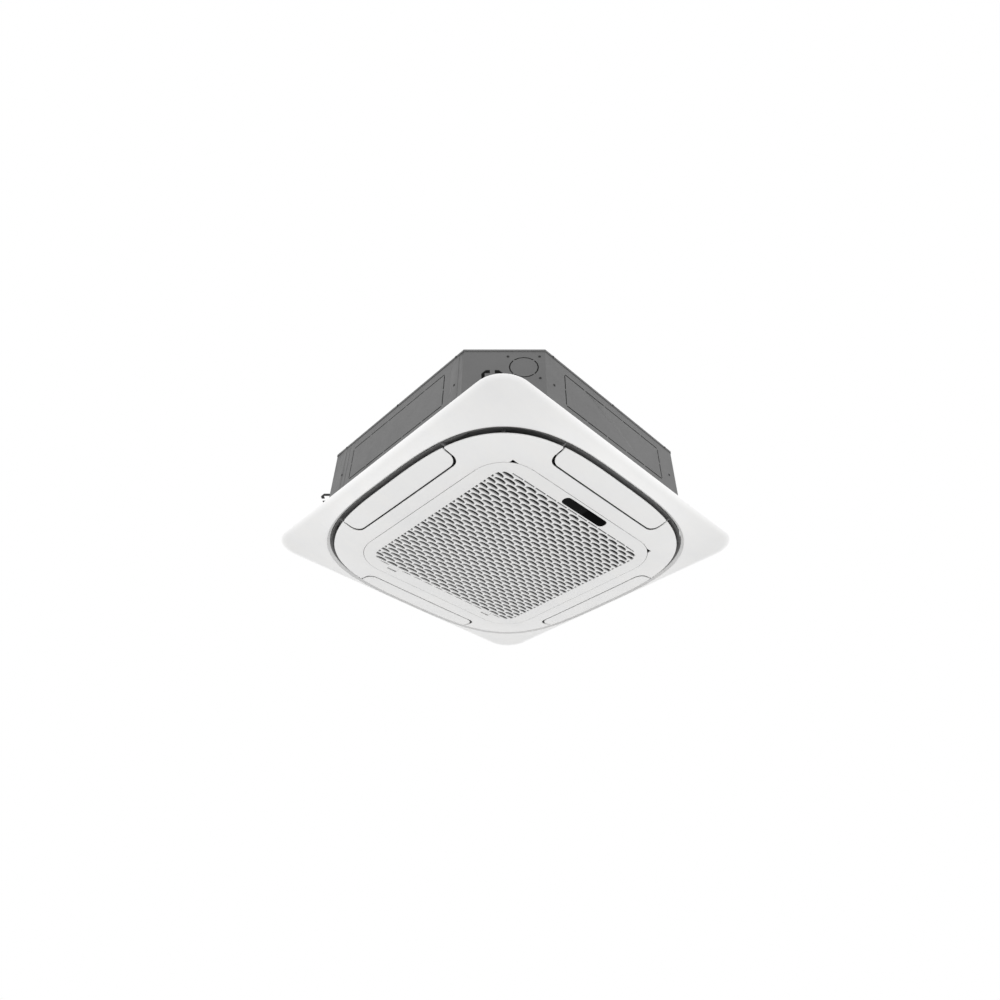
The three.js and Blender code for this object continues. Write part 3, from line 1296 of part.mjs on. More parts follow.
// The board hangs on posts from the tray's roof and carries its parts underneath.
function controlBoard() {
  const z = boxTop - SHEET - BOARD_DROP;
  const [x0, x1] = [-BOX_HALF + BOARD_INSET, BOX_HALF - BOARD_SHORT];
  const [y0, y1] = [boxY + BOARD_INSET, boxY + BOX_WIDTH - BOARD_INSET];
  const board = box(x0, x1, y0, y1, z, z + BOARD_THICK);
  const [postX, postY] = [BOARD_INSET, BOARD_INSET / 2];
  const posts = [x0 + postX, x1 - postX].flatMap((x) =>
    [y0 + postY, y1 - postY].map((y) => post(x, y, BOARD_POST, z + 1, boxTop - SHEET - GAP, 8)),
  );
  const along = (share) => x0 + (x1 - x0) * share;
  const parts = BOARD_PARTS.map(([from, to, height]) =>
    box(along(from), along(to), y0 + BOARD_INSET, y1 - BOARD_INSET, z - height, z + 1),
  );
  const capacitor = post(along(0.82), (y0 + y1) / 2, BOARD_INSET, z - BOARD_DROP, z + 1);
  return joined(board, ...posts, ...parts, capacitor);
}
add("control_board", controlBoard(), boardGreen);

// Terminals side by side, with a channel between each two.
function terminals() {
  const [x0, x1] = [BOX_HALF - BOARD_SHORT + BOARD_INSET, BOX_HALF - BOARD_INSET];
  const [y0, y1] = [boxY + BOARD_INSET, boxY + BOX_WIDTH - BOARD_INSET];
  const top = boxTop - SHEET - GAP;
  const cell = (y1 - y0) / TERMINALS;
  const channels = Array.from({ length: TERMINALS }, (_, i) => {
    const y = y0 + (i + 0.5) * cell;
    return box(x0 - 1, x1 - BOARD_INSET, y - cell / 3, y + cell / 3, boxLow, top - TERMINAL_HEIGHT / 2);
  });
  return without(box(x0, x1, y0, y1, top - TERMINAL_HEIGHT, top), ...channels);
}
add("terminal_block", terminals(), darkPlastic);
add("pipe_cover", coverPlate, greySteel, pipeCorner);

export default unit;
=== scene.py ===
import json
import math

import bmesh
import bpy
from mathutils import Matrix, Vector
from mathutils.geometry import delaunay_2d_cdt


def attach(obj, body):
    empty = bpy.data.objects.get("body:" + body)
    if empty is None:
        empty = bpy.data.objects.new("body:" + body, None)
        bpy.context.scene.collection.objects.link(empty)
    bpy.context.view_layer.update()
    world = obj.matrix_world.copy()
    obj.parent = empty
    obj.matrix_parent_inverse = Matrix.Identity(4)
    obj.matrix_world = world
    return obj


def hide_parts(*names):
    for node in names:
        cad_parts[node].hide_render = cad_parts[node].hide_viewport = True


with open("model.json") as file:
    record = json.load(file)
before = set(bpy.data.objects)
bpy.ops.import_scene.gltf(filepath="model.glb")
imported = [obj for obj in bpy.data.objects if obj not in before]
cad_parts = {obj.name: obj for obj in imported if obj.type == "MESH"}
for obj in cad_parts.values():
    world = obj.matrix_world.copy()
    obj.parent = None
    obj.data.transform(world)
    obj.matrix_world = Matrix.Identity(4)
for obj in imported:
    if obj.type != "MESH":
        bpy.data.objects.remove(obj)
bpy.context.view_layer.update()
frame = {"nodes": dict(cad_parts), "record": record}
NODES = frame["nodes"]
MM = 0.001


# ---- materials

class Tree:
    """A node material under construction."""

    def __init__(self, name):
        self.material = bpy.data.materials.new(name)
        self.material.use_nodes = True
        self.nodes = self.material.node_tree.nodes
        self.links = self.material.node_tree.links
        self.shader = self.nodes["Principled BSDF"]
        self.coordinates = self.nodes.new("ShaderNodeTexCoord").outputs["Object"]

    @classmethod
    def again(cls, material):
        """The same kind of builder for a material that is already there."""
        tree = cls.__new__(cls)
        tree.material = material
        tree.nodes, tree.links = material.node_tree.nodes, material.node_tree.links
        tree.shader = tree.nodes["Principled BSDF"]
        place = tree.nodes.new("ShaderNodeTexCoord").outputs
        tree.coordinates, tree.upright = place["Object"], place["Normal"]
        return tree

    def add(self, kind, inputs=(), **settings):
        node = self.nodes.new("ShaderNode" + kind)
        for key, value in settings.items():
            setattr(node, key, value)
        for key, value in dict(inputs).items():
            self.set(node.inputs[key], value)
        return node

    def set(self, socket, value):
        if isinstance(value, bpy.types.NodeSocket):
            self.links.new(value, socket)
        else:
            socket.default_value = value

    def noise(self, scale, detail=4.0, roughness=0.6, stretch=(1, 1, 1)):
        place = self.add("Mapping", {"Vector": self.coordinates, "Scale": stretch})
        return self.add(
            "TexNoise",
            {"Vector": place.outputs[0], "Scale": scale, "Detail": detail, "Roughness": roughness},
        ).outputs["Fac"]

    def cells(self, scale, feature="F1", output="Distance"):
        return self.add(
            "TexVoronoi", {"Vector": self.coordinates, "Scale": scale}, feature=feature
        ).outputs[output]

    def span(self, value, low, high, to_low=0.0, to_high=1.0):
        return self.add(
            "MapRange",
            {"Value": value, "From Min": low, "From Max": high, "To Min": to_low, "To Max": to_high},
        ).outputs[0]

    def blend(self, share, a, b):
        node = self.add("Mix", data_type="RGBA")
        self.set(node.inputs[0], share)
        self.set(node.inputs[6], a)
        self.set(node.inputs[7], b)
        return node.outputs[2]

    def sum(self, a, b, operation="ADD"):
        node = self.add("Math", operation=operation)
        self.set(node.inputs[0], a)
        self.set(node.inputs[1], b)
        return node.outputs[0]

    def bump(self, height, distance, strength=1.0):
        node = self.add("Bump", {"Height": height, "Distance": distance, "Strength": strength})
        self.links.new(node.outputs[0], self.shader.inputs["Normal"])

    def finish(self, **inputs):
        for key, value in inputs.items():
            self.set(self.shader.inputs[key.replace("_", " ")], value)
        return self.material


def grey(value):
    """A screen grey from 0 to 255 as a linear colour."""
    c = value / 255
    linear = c / 12.92 if c <= 0.04045 else ((c + 0.055) / 1.055) ** 2.4
    return (linear, linear, linear, 1)


def tint(r, g, b):
    return tuple(grey(v)[0] for v in (r, g, b)) + (1,)


def moulded(name, shade, roughness, grain=0.00002, coat=0.0, spread=0.035):
    """Moulded plastic: a spark-eroded grain, faint flow marks and an uneven gloss."""
    t = Tree(name)
    colour = shade if isinstance(shade, tuple) else grey(shade)
    darker = tuple(c * (1 - spread) for c in colour[:3]) + (1,)
    warmer = (min(colour[0] * 1.008, 1), colour[1], colour[2] * 0.985, 1)
    cloudy = t.span(t.noise(7, 4), 0.35, 0.7)
    flow = t.span(t.noise(22, 5, 0.65, (1, 0.25, 1)), 0.42, 0.62)
    dust = t.span(t.cells(900), 0.0, 0.06, 0.35, 0.0)
    body = t.blend(t.sum(flow, 0.5, "MULTIPLY"), t.blend(cloudy, darker, colour), warmer)
    fine = t.sum(t.noise(2600, 2, 0.7), t.sum(t.cells(1500), 0.4, "MULTIPLY"))
    t.bump(fine, grain, 0.35)
    t.finish(
        Base_Color=t.blend(t.sum(dust, 0.1, "MULTIPLY"), body, darker),
        Roughness=t.span(t.noise(40, 4), 0.3, 0.7, roughness - 0.04, roughness + 0.05),
    )
    t.shader.inputs["Coat Weight"].default_value = coat
    t.shader.inputs["Coat Roughness"].default_value = 0.3
    return t.material


def painted(name, shade, roughness, peel=0.00006):
    """Powder coat on steel sheet: an orange-peel surface, fine speckle and a few rubbed places."""
    t = Tree(name)
    base = grey(shade)
    light = tuple(c * 1.12 for c in base[:3]) + (1,)
    dark = tuple(c * 0.9 for c in base[:3]) + (1,)
    cloudy = t.span(t.noise(5, 5, 0.6), 0.35, 0.68)
    speckle = t.span(t.noise(1400, 2, 0.8), 0.55, 0.75, 0, 0.5)
    rubbed = t.span(t.noise(60, 8, 0.75, (1, 1, 0.12)), 0.62, 0.72, 0, 0.3)
    colour = t.blend(speckle, t.blend(cloudy, dark, base), light)
    t.bump(t.sum(t.noise(420, 3, 0.5), t.sum(t.noise(3000, 1), 0.25, "MULTIPLY")), peel, 0.5)
    return t.finish(
        Base_Color=t.blend(rubbed, colour, light),
        Roughness=t.span(t.sum(t.noise(30, 4), rubbed), 0.3, 0.9, roughness - 0.05, roughness + 0.1),
    )


def galvanised(name, shade, roughness):
    """Zinc-coated steel: crystals of different brightness, rolled lines and a dull bloom."""
    t = Tree(name)
    base = grey(shade)
    dark = tuple(c * 0.72 for c in base[:3]) + (1,)
    crystals = t.add("SeparateColor", {"Color": t.cells(170, output="Color")}).outputs[0]
    bloom = t.span(t.noise(24, 6, 0.7), 0.4, 0.7, 0, 0.5)
    lines = t.noise(700, 3, 0.6, (1, 0.02, 0.02))
    t.bump(t.sum(lines, t.sum(crystals, 0.5, "MULTIPLY")), 0.00002, 0.4)
    t.shader.inputs["Metallic"].default_value = 0.85
    return t.finish(
        Base_Color=t.blend(bloom, t.blend(crystals, dark, base), grey(shade * 0.9)),
        Roughness=t.span(t.sum(crystals, lines), 0.3, 1.5, roughness - 0.08, roughness + 0.14),
    )


def metal_tube(name, colour, roughness, tarnish):
    """Drawn or turned metal with hairlines and a tarnish that gathers in patches."""
    t = Tree(name)
    patches = t.span(t.noise(30, 6, 0.7), 0.45, 0.75, 0, 0.8)
    hairs = t.noise(1500, 3, 0.7, (0.05, 1, 1))
    t.bump(hairs, 0.00001, 0.4)
    t.shader.inputs["Metallic"].default_value = 0.95
    return t.finish(
        Base_Color=t.blend(patches, colour, tarnish),
        Roughness=t.span(t.sum(hairs, patches), 0.3, 1.4, roughness - 0.06, roughness + 0.2),
    )


def beads(name, shade, size, depth, spread):
    """Foam: pressed beads or open pores, each a little lighter or darker than the next, with painted shade
    along the creases between them.
    """
    t = Tree(name)
    base = grey(shade)
    dark = tuple(c * (1 - spread) for c in base[:3]) + (1,)
    edge = t.span(t.cells(size, "DISTANCE_TO_EDGE"), 0.0, 0.18)
    one = t.add("SeparateColor", {"Color": t.cells(size, output="Color")}).outputs[0]
    t.bump(t.sum(edge, t.sum(t.noise(size * 6, 3), 0.3, "MULTIPLY")), depth, 0.6)
    return t.finish(
        Base_Color=t.blend(edge, dark, t.blend(t.sum(one, 0.35, "MULTIPLY"), base, dark)),
        Roughness=t.span(one, 0, 1, 0.84, 0.95),
    )


def fins():
    """Thin aluminium plates side by side, a few of them bent, with painted shade in the gaps between them."""
    t = Tree("aluminium fins")
    parts = t.add("SeparateXYZ", {"Vector": t.coordinates}).outputs
    run = t.sum(t.sum(parts[0], 0, "ABSOLUTE"), t.sum(parts[1], 0, "ABSOLUTE"), "SUBTRACT")
    bent = t.sum(t.span(t.noise(45, 4, 0.7), 0.5, 0.75, 0, 0.0006), run)
    wave = t.sum(t.sum(bent, 3490, "MULTIPLY"), 0, "SINE")
    tubes = t.sum(t.sum(parts[2], 299, "MULTIPLY"), 0, "SINE")
    shaded_gaps = t.span(wave, -0.7, 0.4)
    t.bump(t.sum(shaded_gaps, t.sum(tubes, 0.1, "MULTIPLY")), 0.0006, 0.8)
    t.shader.inputs["Metallic"].default_value = 0.8
    return t.finish(
        Base_Color=t.blend(shaded_gaps, grey(52), t.blend(t.noise(18, 4), grey(176), grey(212))),
        Roughness=t.span(t.noise(300, 3), 0.3, 0.7, 0.32, 0.5),
    )


def circuit():
    """Solder mask over a pattern of tracks and pads."""
    t = Tree("board green")
    tracks = t.span(t.cells(150, "DISTANCE_TO_EDGE"), 0.02, 0.05)
    pads = t.span(t.cells(420), 0.16, 0.2)
    green = t.blend(tracks, tint(52, 128, 80), tint(24, 78, 48))
    t.bump(t.sum(tracks, pads), 0.00004, 0.5)
    return t.finish(
        Base_Color=t.blend(pads, tint(190, 188, 180), green),
        Roughness=t.span(t.noise(200, 3), 0.3, 0.7, 0.35, 0.5),
    )


def lens():
    """Black glossy window, its -Y half a trace lighter, with faint wipe marks."""
    t = Tree("display gloss")
    y = t.add("SeparateXYZ", {"Vector": t.coordinates}).outputs[1]
    half = t.span(y, 0.0035, 0.0045)
    wiped = t.noise(90, 5, 0.7, (0.2, 1, 1))
    return t.finish(
        Base_Color=t.blend(half, grey(20), grey(1)),
        Roughness=t.span(wiped, 0.35, 0.75, 0.2, 0.3),
        Specular_IOR_Level=0.02,
    )


def net(name, shade, pitch=1250):
    """Woven threads, raised one over the other, with dust along them and painted shade in the holes between
    them.
    """
    t = Tree(name)
    parts = t.add("SeparateXYZ", {"Vector": t.coordinates}).outputs
    weft = t.sum(t.sum(parts[0], pitch * math.pi, "MULTIPLY"), 0, "SINE")
    warp = t.sum(t.sum(parts[1], pitch * math.pi, "MULTIPLY"), 0, "SINE")
    thread = t.span(t.sum(t.sum(weft, 0, "ABSOLUTE"), t.sum(warp, 0, "ABSOLUTE"), "MINIMUM"), 0.15, 0.5)
    dusty = t.span(t.noise(16, 6, 0.7), 0.4, 0.75, 0, 0.4)
    t.bump(thread, 0.0003, 0.8)
    return t.finish(
        Base_Color=t.blend(thread, t.blend(dusty, grey(shade), grey(shade + 26)), grey(shade * 0.45)),
        Roughness=t.span(dusty, 0, 0.4, 0.6, 0.85),
    )


MATERIALS = {
    "white_panel_plastic": moulded("white panel plastic", 237, 0.4, 0.000008),
    "white_fan_plastic": moulded("white fan plastic", 224, 0.5, 0.00004),
    "grey_plastic": moulded("grey plastic", 150, 0.5, 0.00004, spread=0.1),
    "dark_plastic": moulded("dark plastic", 58, 0.6, 0.00004, spread=0.15),
    "display_gloss": lens(),
    "grey_sheet_steel": painted("grey sheet steel", 96, 0.5),
    "black_steel": painted("black steel", 24, 0.42),
    "bare_steel": galvanised("bare steel", 178, 0.36),
    "white_foam": beads("white foam", 238, 260, 0.0004, 0.1),
    "black_foam": beads("black foam", 40, 1100, 0.0003, 0.45),
    "aluminium_fins": fins(),
    "copper_tube": metal_tube("copper tube", tint(196, 118, 78), 0.3, tint(122, 74, 54)),
    "brass_nut": metal_tube("brass nut", tint(206, 168, 88), 0.3, tint(150, 118, 60)),
    "grommet_rubber": beads("grommet rubber", 32, 2400, 0.0001, 0.3),
    "board_green": circuit(),
}


def slotted():
    """Panel plastic with painted shade in its slots: the walls between the ribs are painted darker inwards.
    """
    material = moulded("grille plastic", 236, 0.4, 0.000008)
    t = Tree.again(material)
    place = t.add("SeparateXYZ", {"Vector": t.coordinates}).outputs[2]
    facing = t.add("SeparateXYZ", {"Vector": t.upright}).outputs[2]
    wall = t.span(t.sum(facing, 0, "ABSOLUTE"), 0.75, 0.35)
    painted_slot_shade = t.sum(wall, t.span(place, -0.0447, -0.0385, 0, 0.88), "MULTIPLY")
    socket = t.shader.inputs["Base Color"]
    t.set(socket, t.blend(painted_slot_shade, socket.links[0].from_socket, grey(46)))
    return material


def edged():
    """Panel plastic with a painted highlight: a trace lighter along the panel's outer edge."""
    material = moulded("flange plastic", 236, 0.4, 0.000008)
    t = Tree.again(material)
    out = t.add("VectorMath", {0: t.coordinates}, operation="ABSOLUTE").outputs[0]
    out = t.add("VectorMath", {0: out, 1: (0.397, 0.397, 1)}, operation="SUBTRACT").outputs[0]
    out = t.add("VectorMath", {0: out, 1: (0, 0, -2)}, operation="MAXIMUM").outputs[0]
    out = t.add("VectorMath", {0: out, 1: (1, 1, 0)}, operation="MULTIPLY").outputs[0]
    out = t.add("VectorMath", {0: out}, operation="LENGTH").outputs["Value"]
    # Painted highlight: the colour goes towards white near the panel's outer edge.
    near = t.sum(t.span(out, 0.060, 0.078), 1.8, "POWER")
    socket = t.shader.inputs["Base Color"]
    t.set(socket, t.blend(near, socket.links[0].from_socket, (1, 1, 1, 1)))
    return material


GRILLE_PLASTIC = slotted()
FLANGE_PLASTIC = edged()
FRAME_PLASTIC = moulded("duct frame plastic", 112, 0.6, 0.00004, spread=0.15)
LATCH_PLASTIC = moulded("latch plastic", 236, 0.45, spread=0.06)
# The filter net is painted near black: painted shade that darkens the grille's slots in front of it.
NET = net("filter net", 20)
# Painted shade for the slits of the knock-outs.
SLIT_SHADE = beads("slit painted shade", 22, 900, 0.0002, 0.3)

PER_NODE = {"duct_frame": FRAME_PLASTIC, "latch_1": LATCH_PLASTIC, "latch_2": LATCH_PLASTIC, "filter": NET}

for piece in frame["record"]["subparts"]:
    node = NODES[piece["node"]]
    node.data.materials.clear()
    node.data.materials.append(PER_NODE.get(piece["node"], MATERIALS[piece["material_slot"]]))

# ---- sizes shared with the solids, in millimetres

PANEL, PANEL_R, EDGE, FALL, RIDGE, LIP, RIM = 475, 78, 4, 22, 439, 431, 419
RIDGE_Z, LIP_Z, FRAME_LOW = -26, -20, -6
ROUNDNESS, RISE, BEND, SKIN = 3.36, 14, 1.44, 3
FACE, OPENING, OPENING_R, DOOR, DOOR_R, DOOR_BACK, DOOR_TOP = -45, 312.6, 100.2, 311.4, 99, -42.5, -33.3
LOUVER_IN, LOUVER_HALF, LOUVER_R, NOTCH_IN, NOTCH_HALF, NOTCH_R = 359.5, 202.5, 26, 354.5, 207.5, 25
PIVOT_X, PIVOT_Z, HINGE_X, HINGE_Z, HINGE_Y = 374, -20, 297, -39, 150
WINDOW_X, WINDOW_Y, WINDOW_W, WINDOW_L, WINDOW_R = 289.5, 4, 29, 161, 13
FIELD, FIELD_R, SLOT_X, SLOT_Y, SLOT_HALF_X, SLOT_HALF_Y = 272, 42, 14.3, 40.3, 5.1, 18.3
LATCH_X, LATCH_Y, LATCH_W, LATCH_L = 275, 184, 12, 30
BOSS, RIM_WALL, HINGE_PLATE, PIPE_Z, PIPE_SIDE = 330, 4.4, 6, 78, 37.5
BODY, CHAMFER, CHAMFER_HANGING = 420, 147, 127
TOP, LID_RIM, SHEET = 258.5, 7, 1.2
ROOT2 = math.sqrt(2)


# ---- outlines

def superellipse(half):
    def distance(a):
        total = abs(math.cos(a)) ** ROUNDNESS + abs(math.sin(a)) ** ROUNDNESS
        return half / total ** (1 / ROUNDNESS)
    return distance


def soft_square(half, radius):
    def distance(a):
        c, s = abs(math.cos(a)), abs(math.sin(a))
        long, short = max(c, s), min(c, s)
        centre = half - radius
        if half * short / long <= centre:
            return half / long
        along = centre * (c + s)
        return along + math.sqrt(along ** 2 - 2 * centre ** 2 + radius ** 2)
    return distance


def between(inner, outer, share):
    return lambda a: inner(a) + (outer(a) - inner(a)) * share


def plan(distance, count=256):
    """Points round an outline, closer together towards the corners."""
    out = []
    for i in range(count):
        u = i / count * 4
        quarter, part = int(u), u - int(u)
        a = (quarter + part - 0.42 * math.sin(4 * math.pi * part) / (4 * math.pi)) * math.pi / 2
        out.append((distance(a) * math.cos(a), distance(a) * math.sin(a)))
    return out


def rectangle(x, y, half_x, half_y, radius, steps=6):
    out = []
    for sx, sy, start in ((1, -1, -90), (1, 1, 0), (-1, 1, 90), (-1, -1, 180)):
        for i in range(steps + 1):
            a = math.radians(start + 90 * i / steps)
            out.append((
                x + sx * (half_x - radius) + radius * math.cos(a),
                y + sy * (half_y - radius) + radius * math.sin(a),
            ))
    return out


def octagon(inset):
    h = BODY - inset
    c = CHAMFER - (2 - ROOT2) * inset
    d = CHAMFER_HANGING - (2 - ROOT2) * inset
    return [
        (h - c, -h), (h, -h + c), (h, h - c), (h - c, h),
        (-h + c, h), (-h, h - c), (-h, -h + d), (-h + d, -h),
    ]


def along(points, step):
    """The closed outline with points added so that none are further apart than step."""
    out = []
    for (x0, y0), (x1, y1) in zip(points, points[1:] + points[:1]):
        n = max(1, math.ceil(math.hypot(x1 - x0, y1 - y0) / step))
        out += [(x0 + (x1 - x0) * i / n, y0 + (y1 - y0) * i / n) for i in range(n)]
    return out


def area(points):
    pairs = zip(points, points[1:] + points[:1])
    return sum(x0 * y1 - x1 * y0 for (x0, y0), (x1, y1) in pairs) / 2


def shrink(points, by):
    """An anticlockwise outline moved inwards, or a clockwise one moved outwards."""
    out, n = [], len(points)
    for i, (x, y) in enumerate(points):
        (ax, ay), (bx, by_) = points[i - 1], points[(i + 1) % n]
        d0 = Vector((x - ax, y - ay)).normalized()
        d1 = Vector((bx - x, by_ - y)).normalized()
        n0, n1 = Vector((-d0.y, d0.x)), Vector((-d1.y, d1.x))
        m = n0 + n1
        m *= by / max(m.dot(n0), 0.35)
        out.append((x + m.x, y + m.y))
    return out


def inside(points, x, y):
    hit = False
    for (x0, y0), (x1, y1) in zip(points, points[1:] + points[:1]):
        if (y0 > y) != (y1 > y) and x < (x1 - x0) * (y - y0) / (y1 - y0) + x0:
            hit = not hit
    return hit


# ---- meshes

def smooth(mesh, angle=38):
    for face in mesh.polygons:
        face.use_smooth = True
    mesh.set_sharp_from_angle(angle=math.radians(angle))


def piece(name, bm, body, slot_name, replaced=(), angle=38, place=None, material=None):
    """Turns a bmesh in millimetres into an object that rides a body."""
    name = name.replace(" ", "_")
    bmesh.ops.recalc_face_normals(bm, faces=bm.faces)
    bmesh.ops.scale(bm, vec=(MM, MM, MM), verts=bm.verts)
    if place:
        bmesh.ops.transform(bm, matrix=place, verts=bm.verts)
    mesh = bpy.data.meshes.new(name)
    bm.to_mesh(mesh)
    bm.free()
    smooth(mesh, angle)
    mesh.materials.append(material or MATERIALS[slot_name])
    obj = bpy.data.objects.new(name, mesh)
    bpy.context.scene.collection.objects.link(obj)
    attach(obj, body)
    if replaced:
        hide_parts(*replaced)
    return obj


def strip(bm, low, high):
    n = len(low)
    for i in range(n):
        j = (i + 1) % n
        bm.faces.new((low[i], low[j], high[j], high[i]))


def loft(bm, rings, closed=True):
    """A surface through rings of (x, y, z) points."""
    made = [[bm.verts.new(p) for p in ring] for ring in rings]
    pairs = list(zip(made, made[1:])) + ([(made[-1], made[0])] if closed else [])
    for low, high in pairs:
        strip(bm, low, high)
    return made


def circle(count, turn=0):
    angles = [2 * math.pi * i / count + turn for i in range(count)]
    return [(math.cos(a), math.sin(a)) for a in angles]


def round_bar(start, axis, u, v, profile, count):
    """Rings about an axis, from (radius, distance) pairs."""
    return [
        [tuple(start + axis * z + (u * c + v * s) * r) for c, s in circle(count)] for r, z in profile
    ]


def spin_from(bm, start, degrees):
    """Turns the vertices made since start about Z."""
    bm.verts.ensure_lookup_table()
    matrix = Matrix.Rotation(math.radians(degrees), 3, "Z")
    bmesh.ops.rotate(bm, verts=bm.verts[start:], cent=(0, 0, 0), matrix=matrix)


def level(points, z):
    return [(x, y, z) for x, y in points]


def lathe(bm, profile, count=72, centre=(0, 0), closed=True):
    """A closed profile of (radius, z) turned about Z."""
    rings = [[(centre[0] + r * c, centre[1] + r * s, z) for c, s in circle(count)] for r, z in profile]
    return loft(bm, rings, closed)


def sheet(bm, outline, holes, low, high, fillet=0.8, steps=3, spacing=12, back=0.3, extra=()):
    """A sheet with holes between two surfaces low(x, y) and high(x, y), its lower edges round."""
    loops = [outline if area(outline) > 0 else outline[::-1]]
    loops += [h[::-1] if area(h) > 0 else h for h in holes]
    insets = [shrink(loop, fillet) for loop in loops]
    points, faces = [], []
    for loop in insets:
        indices = list(range(len(points), len(points) + len(loop)))
        faces.append(indices if area(loop) > 0 else indices[::-1])
        points += loop
    xs, ys = [p[0] for p in loops[0]], [p[1] for p in loops[0]]
    boxes = [
        (min(p[0] for p in l), max(p[0] for p in l), min(p[1] for p in l), max(p[1] for p in l), l)
        for l in insets[1:]
    ]
    x = min(xs) + spacing / 2
    while x < max(xs):
        y = min(ys) + spacing / 2
        while y < max(ys):
            if inside(insets[0], x, y) and not any(
                a - 1 < x < b + 1 and c - 1 < y < d + 1 and inside(l, x, y) for a, b, c, d, l in boxes
            ):
                points.append((x, y))
            y += spacing
        x += spacing
    points += list(extra)
    found, _, triangles, origin, _, source = delaunay_2d_cdt([Vector(p) for p in points], [], faces, 1, 1e-4)
    keep = [t for t, s in zip(triangles, source) if s == [0]]
    at = {old: new for new, olds in enumerate(origin) for old in olds}
    used = {i for t in keep for i in t}
    lows = {i: bm.verts.new((found[i].x, found[i].y, low(found[i].x, found[i].y))) for i in used}
    highs = {i: bm.verts.new((found[i].x, found[i].y, high(found[i].x, found[i].y))) for i in used}
    for a, b, c in keep:
        bm.faces.new((lows[c], lows[b], lows[a]))
        bm.faces.new((highs[a], highs[b], highs[c]))
    start = 0
    for loop in loops:
        n = len(loop)
        rings = [[lows[at[start + i]] for i in range(n)]]
        for k in range(1, steps + 1):
            a = math.pi / 2 * k / steps
            moved = shrink(loop, fillet * (1 - math.sin(a))) if k < steps else loop
            lift = fillet * (1 - math.cos(a))
            rings.append([
                bm.verts.new((p[0], p[1], low(*q) + lift))
                for p, q in zip(moved, insets[loops.index(loop)])
            ])
        rings.append([
            bm.verts.new((p[0], p[1], high(*q) - back)) for p, q in zip(loop, insets[loops.index(loop)])
        ])
        rings.append([highs[at[start + i]] for i in range(n)])
        for a, b in zip(rings, rings[1:]):
            strip(bm, a, b)
        start += n


def block(bm, x0, x1, y0, y1, z0, z1, bevel=0.5, segments=2):
    """A box with round edges."""
    made = bmesh.ops.create_cube(bm, size=1)["verts"]
    for v in made:
        v.co = Vector((
            (x0 + x1) / 2 + v.co.x * (x1 - x0),
            (y0 + y1) / 2 + v.co.y * (y1 - y0),
            (z0 + z1) / 2 + v.co.z * (z1 - z0),
        ))
    edges = list({e for v in made for e in v.link_edges})
    if bevel:
        bmesh.ops.bevel(bm, geom=edges, offset=bevel, segments=segments, affect="EDGES", profile=0.5)


def tube(bm, start, end, radius, count=32, bevel=0.4, bore=0):
    """A round bar between two points with bevelled ends, or a tube."""
    start, end = Vector(start), Vector(end)
    axis = (end - start).normalized()
    u = axis.orthogonal().normalized()
    v = axis.cross(u)
    length = (end - start).length
    profile = [(radius - bevel, 0), (radius, bevel), (radius, length - bevel), (radius - bevel, length)]
    profile += [(bore, length), (bore, 0)] if bore else []
    made = loft(bm, round_bar(start, axis, u, v, profile, count), closed=bool(bore))
    if not bore:
        bm.faces.new(made[0])
        bm.faces.new(made[-1])


# ---- panel flange

def rings_at(profile):
    return [level(plan(distance), z) for distance, z in profile]


edge_at, ridge_at = soft_square(PANEL, PANEL_R), superellipse(RIDGE)


def flange_profile():
    """Outline and level of each ring, from the edge's top down to the ridge, over the lip and back."""
    out = [(soft_square(PANEL - 0.6, PANEL_R - 0.6), 0), (edge_at, -0.5), (edge_at, -1.2)]
    for k in range(1, 30):
        share = (k / 29.5) ** 1.4
        lift = 2.8 * max(1 - share / 0.42, 0) ** 2.2
        out.append((between(edge_at, ridge_at, share), -EDGE - FALL * share ** 1.5 + lift))
    out.append((superellipse(RIDGE + 0.6), RIDGE_Z + 0.35))
    for k in range(5):
        a = math.radians(22 * k)
        out.append((superellipse(RIDGE - 1.2 - 0.9 * math.sin(a)), RIDGE_Z + 0.9 - 0.9 * math.cos(a)))
    lip = ((0.9, LIP_Z - 0.75), (0.25, LIP_Z - 0.1), (0, LIP_Z + 0.8), (0, FRAME_LOW), (SKIN, FRAME_LOW))
    out += [(superellipse(LIP + more), z) for more, z in lip + ((SKIN, LIP_Z + 1),)]
    out.append((superellipse(RIDGE - 1), RIDGE_Z + 4))
    out.append((between(edge_at, ridge_at, 0.7), -EDGE - FALL * 0.7 ** 1.5 + 3.5))
    out.append((soft_square(PANEL - 12, PANEL_R - 12), 0))
    return out


bm = bmesh.new()
loft(bm, rings_at(flange_profile()))
piece("flange skin", bm, "unit_body", "white_panel_plastic", ["panel_flange"], 50, material=FLANGE_PLASTIC)


# ---- crown, deck and louvers

deck_inner = soft_square(OPENING, OPENING_R)
deck_outer = superellipse(RIM)


def share_at(x, y):
    a = math.atan2(y, x)
    low, high = deck_inner(a), deck_outer(a)
    return (math.hypot(x, y) - low) / (high - low)


def crown_low(x, y):
    s = max(share_at(x, y), 0)
    return FACE + RISE * s ** BEND


def crown_high(x, y):
    s = max(share_at(x, y), 0)
    rise = min(max((s - 0.9) / 0.04, 0), 1)
    return FACE + RISE * s ** BEND + SKIN + 2.6 * rise * rise * (3 - 2 * rise)


def rim_x(y):
    """Where the deck's rim is on the +X side at that y."""
    return (RIM ** ROUNDNESS - abs(y) ** ROUNDNESS) ** (1 / ROUNDNESS)


def rim_arc(a0, a1, steps):
    return [
        (deck_outer(a) * math.cos(a), deck_outer(a) * math.sin(a))
        for a in (a0 + (a1 - a0) * i / steps for i in range(steps + 1))
    ]


def spun(points, degrees):
    c, s = math.cos(math.radians(degrees)), math.sin(math.radians(degrees))
    return [(x * c - y * s, x * s + y * c) for x, y in points]


def arc(x, y, radius, a0, a1, steps=8):
    return [
        (x + radius * math.cos(math.radians(a)), y + radius * math.sin(math.radians(a)))
        for a in (a0 + (a1 - a0) * i / steps for i in range(steps + 1))
    ]


